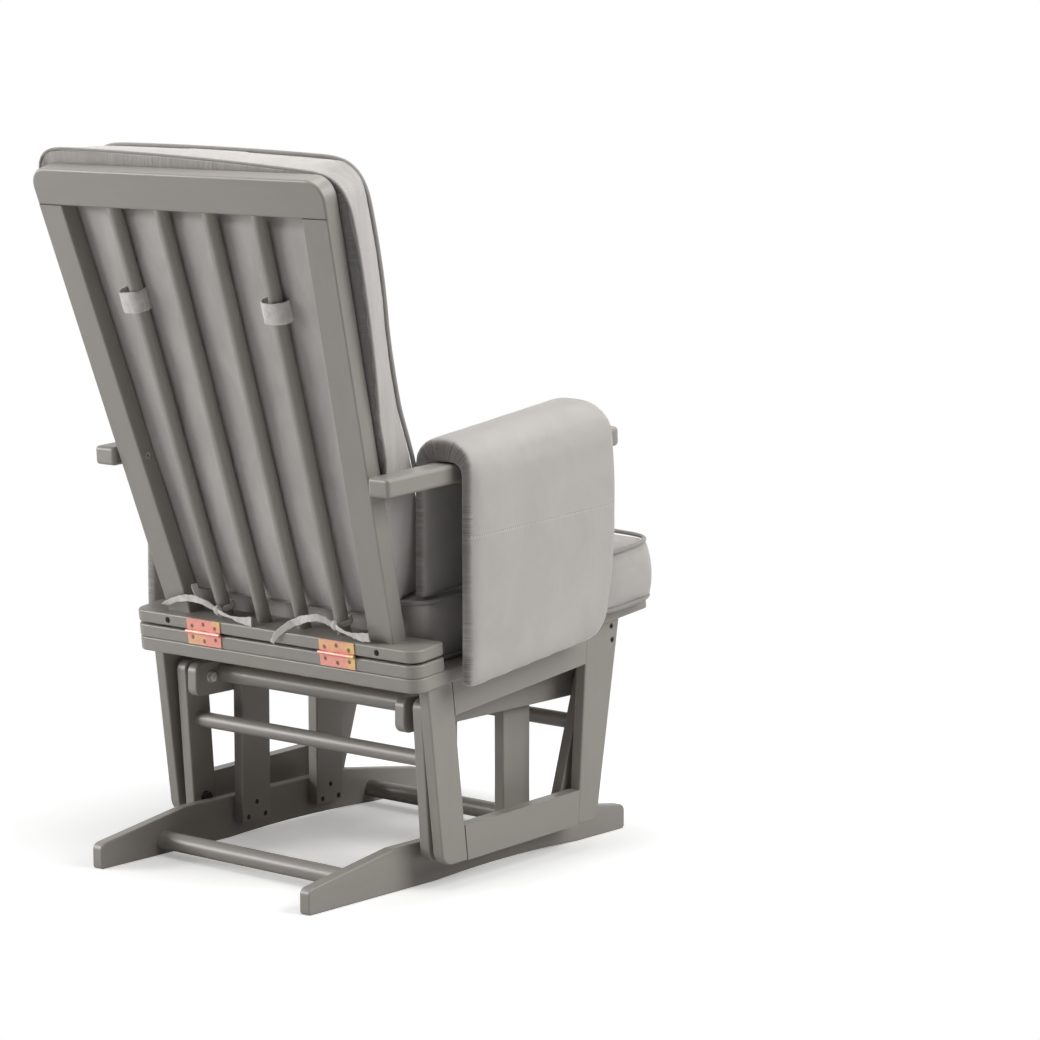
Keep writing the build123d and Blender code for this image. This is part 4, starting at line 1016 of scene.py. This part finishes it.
def ribbon(name, stations):
    """A narrow cloth tie; each station is (place in mm, width in mm, twist in degrees)."""
    run = bpy.data.curves.new(name, "CURVE")
    run.dimensions = "3D"
    run.twist_mode = "Z_UP"
    run.resolution_u = 10
    run.extrude = 0.0052
    run.bevel_depth = 0.0008
    run.bevel_resolution = 2
    line = run.splines.new("BEZIER")
    line.bezier_points.add(len(stations) - 1)
    for spot, (place, width, twist) in zip(line.bezier_points, stations):
        spot.co = Vector(place) / 1000
        spot.handle_left_type = spot.handle_right_type = "AUTO"
        spot.radius = width / 12
        spot.tilt = math.radians(twist)
    obj = as_mesh(name, run)
    soft_wrinkles(obj, 0.0012, 130.0)
    bpy.ops.object.shade_smooth()
    straps.append(obj)


def knot(name, place):
    """The lump where a tie is knotted round the foot of a slat."""
    bpy.ops.object.select_all(action="DESELECT")
    bpy.ops.mesh.primitive_ico_sphere_add(subdivisions=4, radius=0.0062, location=Vector(place) / 1000)
    obj = bpy.context.object
    obj.name = name
    obj.data.name = name
    obj.scale = (1.15, 0.8, 1.1)
    bpy.ops.object.transform_apply(location=True, rotation=True, scale=True)
    soft_wrinkles(obj, 0.002, 160.0)
    bpy.ops.object.shade_smooth()
    straps.append(obj)


ribbon("tie_left_outer", [
    ((214, 161, 349), 9, 70), ((196, 165, 356), 8, 30), ((172, 168, 363), 9, 10), ((148, 168, 365), 9, -15),
    ((127, 166, 361), 9, 10), ((114, 160, 353), 8, 20),
])
ribbon("tie_left_inner", [
    ((110, 160, 352), 7, 0), ((98, 164, 350), 8, 25), ((80, 166, 347), 8, 45), ((60, 168, 345), 10, 30),
    ((34, 170, 345), 14, 5),
])
ribbon("tie_left_end", [((140, 163, 363), 6, 0), ((145, 165, 372), 9, 60), ((149, 166, 386), 12, 75)])
knot("tie_left_knot", (112, 157, 352))
ribbon("tie_right_inner", [
    ((-9, 175, 322), 7, 30), ((-20, 176, 335), 9, 20), ((-34, 172, 347), 10, 10),
    ((-55, 168, 357), 10, 0), ((-76, 168, 363), 10, -10), ((-94, 165, 363), 10, 5), ((-108, 160, 357), 8, 0),
])
ribbon("tie_right_outer", [
    ((-112, 159, 355), 7, 0), ((-124, 163, 352), 8, 30), ((-142, 166, 349), 9, 40),
    ((-160, 168, 347), 11, 20), ((-183, 169, 349), 13, 5),
])
knot("tie_right_knot", (-111, 157, 356))
for name, place, level in (("left", 1.5, 0.0105), ("right", -1.5, 0.0145)):
    middle = slat_line(place, level)
    run = slat_line(place, 0.6) - slat_line(place, 0.0)
    bpy.ops.object.select_all(action="DESELECT")
    bpy.ops.mesh.primitive_torus_add(
        major_segments=48, minor_segments=10, major_radius=0.0117, minor_radius=0.0014,
        location=middle, rotation=run.to_track_quat("Z", "Y").to_euler(),
    )
    band = bpy.context.object
    band.name = f"tie_{name}_band"
    band.data.name = band.name
    edit_all()
    bpy.ops.transform.resize(value=(1, 1, 3.2), orient_type="LOCAL", center_override=middle)
    bpy.ops.object.mode_set(mode="OBJECT")
    bpy.ops.object.transform_apply(location=True, rotation=True, scale=True)
    soft_wrinkles(band, 0.0006, 150.0)
    bpy.ops.object.shade_smooth()
    straps.append(band)
for strap in straps:
    finished(strap, "back", strap_velvet, "cushion_straps")

# ------------------------------------------------------------------ stage: floor, light and camera
bpy.ops.object.select_all(action="DESELECT")
bpy.ops.mesh.primitive_plane_add(size=floor_size, location=(0, 0, 0))
floor = bpy.context.object
floor.name = "studio_floor"
floor_paint, tree, shader, place = new_material("studio_white")
shader.inputs["Roughness"].default_value = 0.95
shader.inputs["Emission Color"].default_value = (1, 1, 1, 1)
rays = tree.nodes.new("ShaderNodeLightPath")
paint = add_node(tree, "ShaderNodeMapRange", in_3=0.66, in_4=0.9)
tree.links.new(rays.outputs["Is Camera Ray"], paint.inputs[0])
tree.links.new(paint.outputs[0], shader.inputs["Base Color"])
lift = add_node(tree, "ShaderNodeMath", operation="MULTIPLY", in_1=0.3)
tree.links.new(rays.outputs["Is Camera Ray"], lift.inputs[0])
tree.links.new(lift.outputs[0], shader.inputs["Emission Strength"])
glow = tree.nodes.new("ShaderNodeEmission")
glow.inputs["Color"].default_value = (1, 1, 1, 1)
flat_place = add_node(tree, "ShaderNodeVectorMath", operation="LENGTH")
tree.links.new(place, flat_place.inputs[0])
far = add_node(tree, "ShaderNodeMapRange", interpolation_type="SMOOTHSTEP", in_1=0.45, in_2=0.95)
tree.links.new(flat_place.outputs["Value"], far.inputs[0])
shown_far = add_node(tree, "ShaderNodeMath", operation="MULTIPLY")
tree.links.new(far.outputs[0], shown_far.inputs[0])
tree.links.new(rays.outputs["Is Camera Ray"], shown_far.inputs[1])
blend_out = tree.nodes.new("ShaderNodeMixShader")
tree.links.new(shown_far.outputs[0], blend_out.inputs[0])
tree.links.new(shader.outputs[0], blend_out.inputs[1])
tree.links.new(glow.outputs[0], blend_out.inputs[2])
tree.links.new(blend_out.outputs[0], tree.nodes["Material Output"].inputs["Surface"])
floor.data.materials.append(floor_paint)

world = bpy.data.worlds.new("studio_air")
bpy.context.scene.world = world
world.use_nodes = True
air = world.node_tree
background = air.nodes["Background"]
paths = air.nodes.new("ShaderNodeLightPath")
seen = add_node(air, "ShaderNodeMath", operation="MAXIMUM")
air.links.new(paths.outputs["Is Camera Ray"], seen.inputs[0])
air.links.new(paths.outputs["Is Glossy Ray"], seen.inputs[1])
strength = add_node(air, "ShaderNodeMapRange", in_1=0.0, in_2=1.0, in_3=0.06, in_4=1.0)
air.links.new(seen.outputs[0], strength.inputs[0])
air.links.new(strength.outputs[0], background.inputs["Strength"])
background.inputs["Color"].default_value = (1, 1, 1, 1)


def soft_box(name, place, aim, size, power):
    """A square studio light that faces a point."""
    lamp = bpy.data.lights.new(name, "AREA")
    lamp.shape = "RECTANGLE"
    lamp.size, lamp.size_y = size
    lamp.energy = power
    holder = bpy.data.objects.new(name, lamp)
    bpy.context.scene.collection.objects.link(holder)
    holder.location = place
    holder.rotation_euler = (Vector(aim) - Vector(place)).to_track_quat("-Z", "Y").to_euler()
    return holder


middle = (0, 0, 0.5)
soft_box("key_light", (-3.3, -0.9, 2.6), middle, (2.4, 2.4), 116)
soft_box("fill_light", (3.4, 2.8, 1.5), middle, (2.2, 1.8), 146)
soft_box("top_light", (-0.2, 0.2, 3.4), middle, (2.0, 2.0), 66)

camera_data = bpy.data.cameras.new("studio_camera")
camera_data.lens = camera_lens
camera_data.sensor_width = 36.0
camera = bpy.data.objects.new("studio_camera", camera_data)
bpy.context.scene.collection.objects.link(camera)
camera.location = camera_place
camera.rotation_euler = (math.pi / 2 - camera_pitch, 0, camera_heading)
bpy.context.scene.camera = camera
bpy.context.scene.view_settings.view_transform = "Standard"
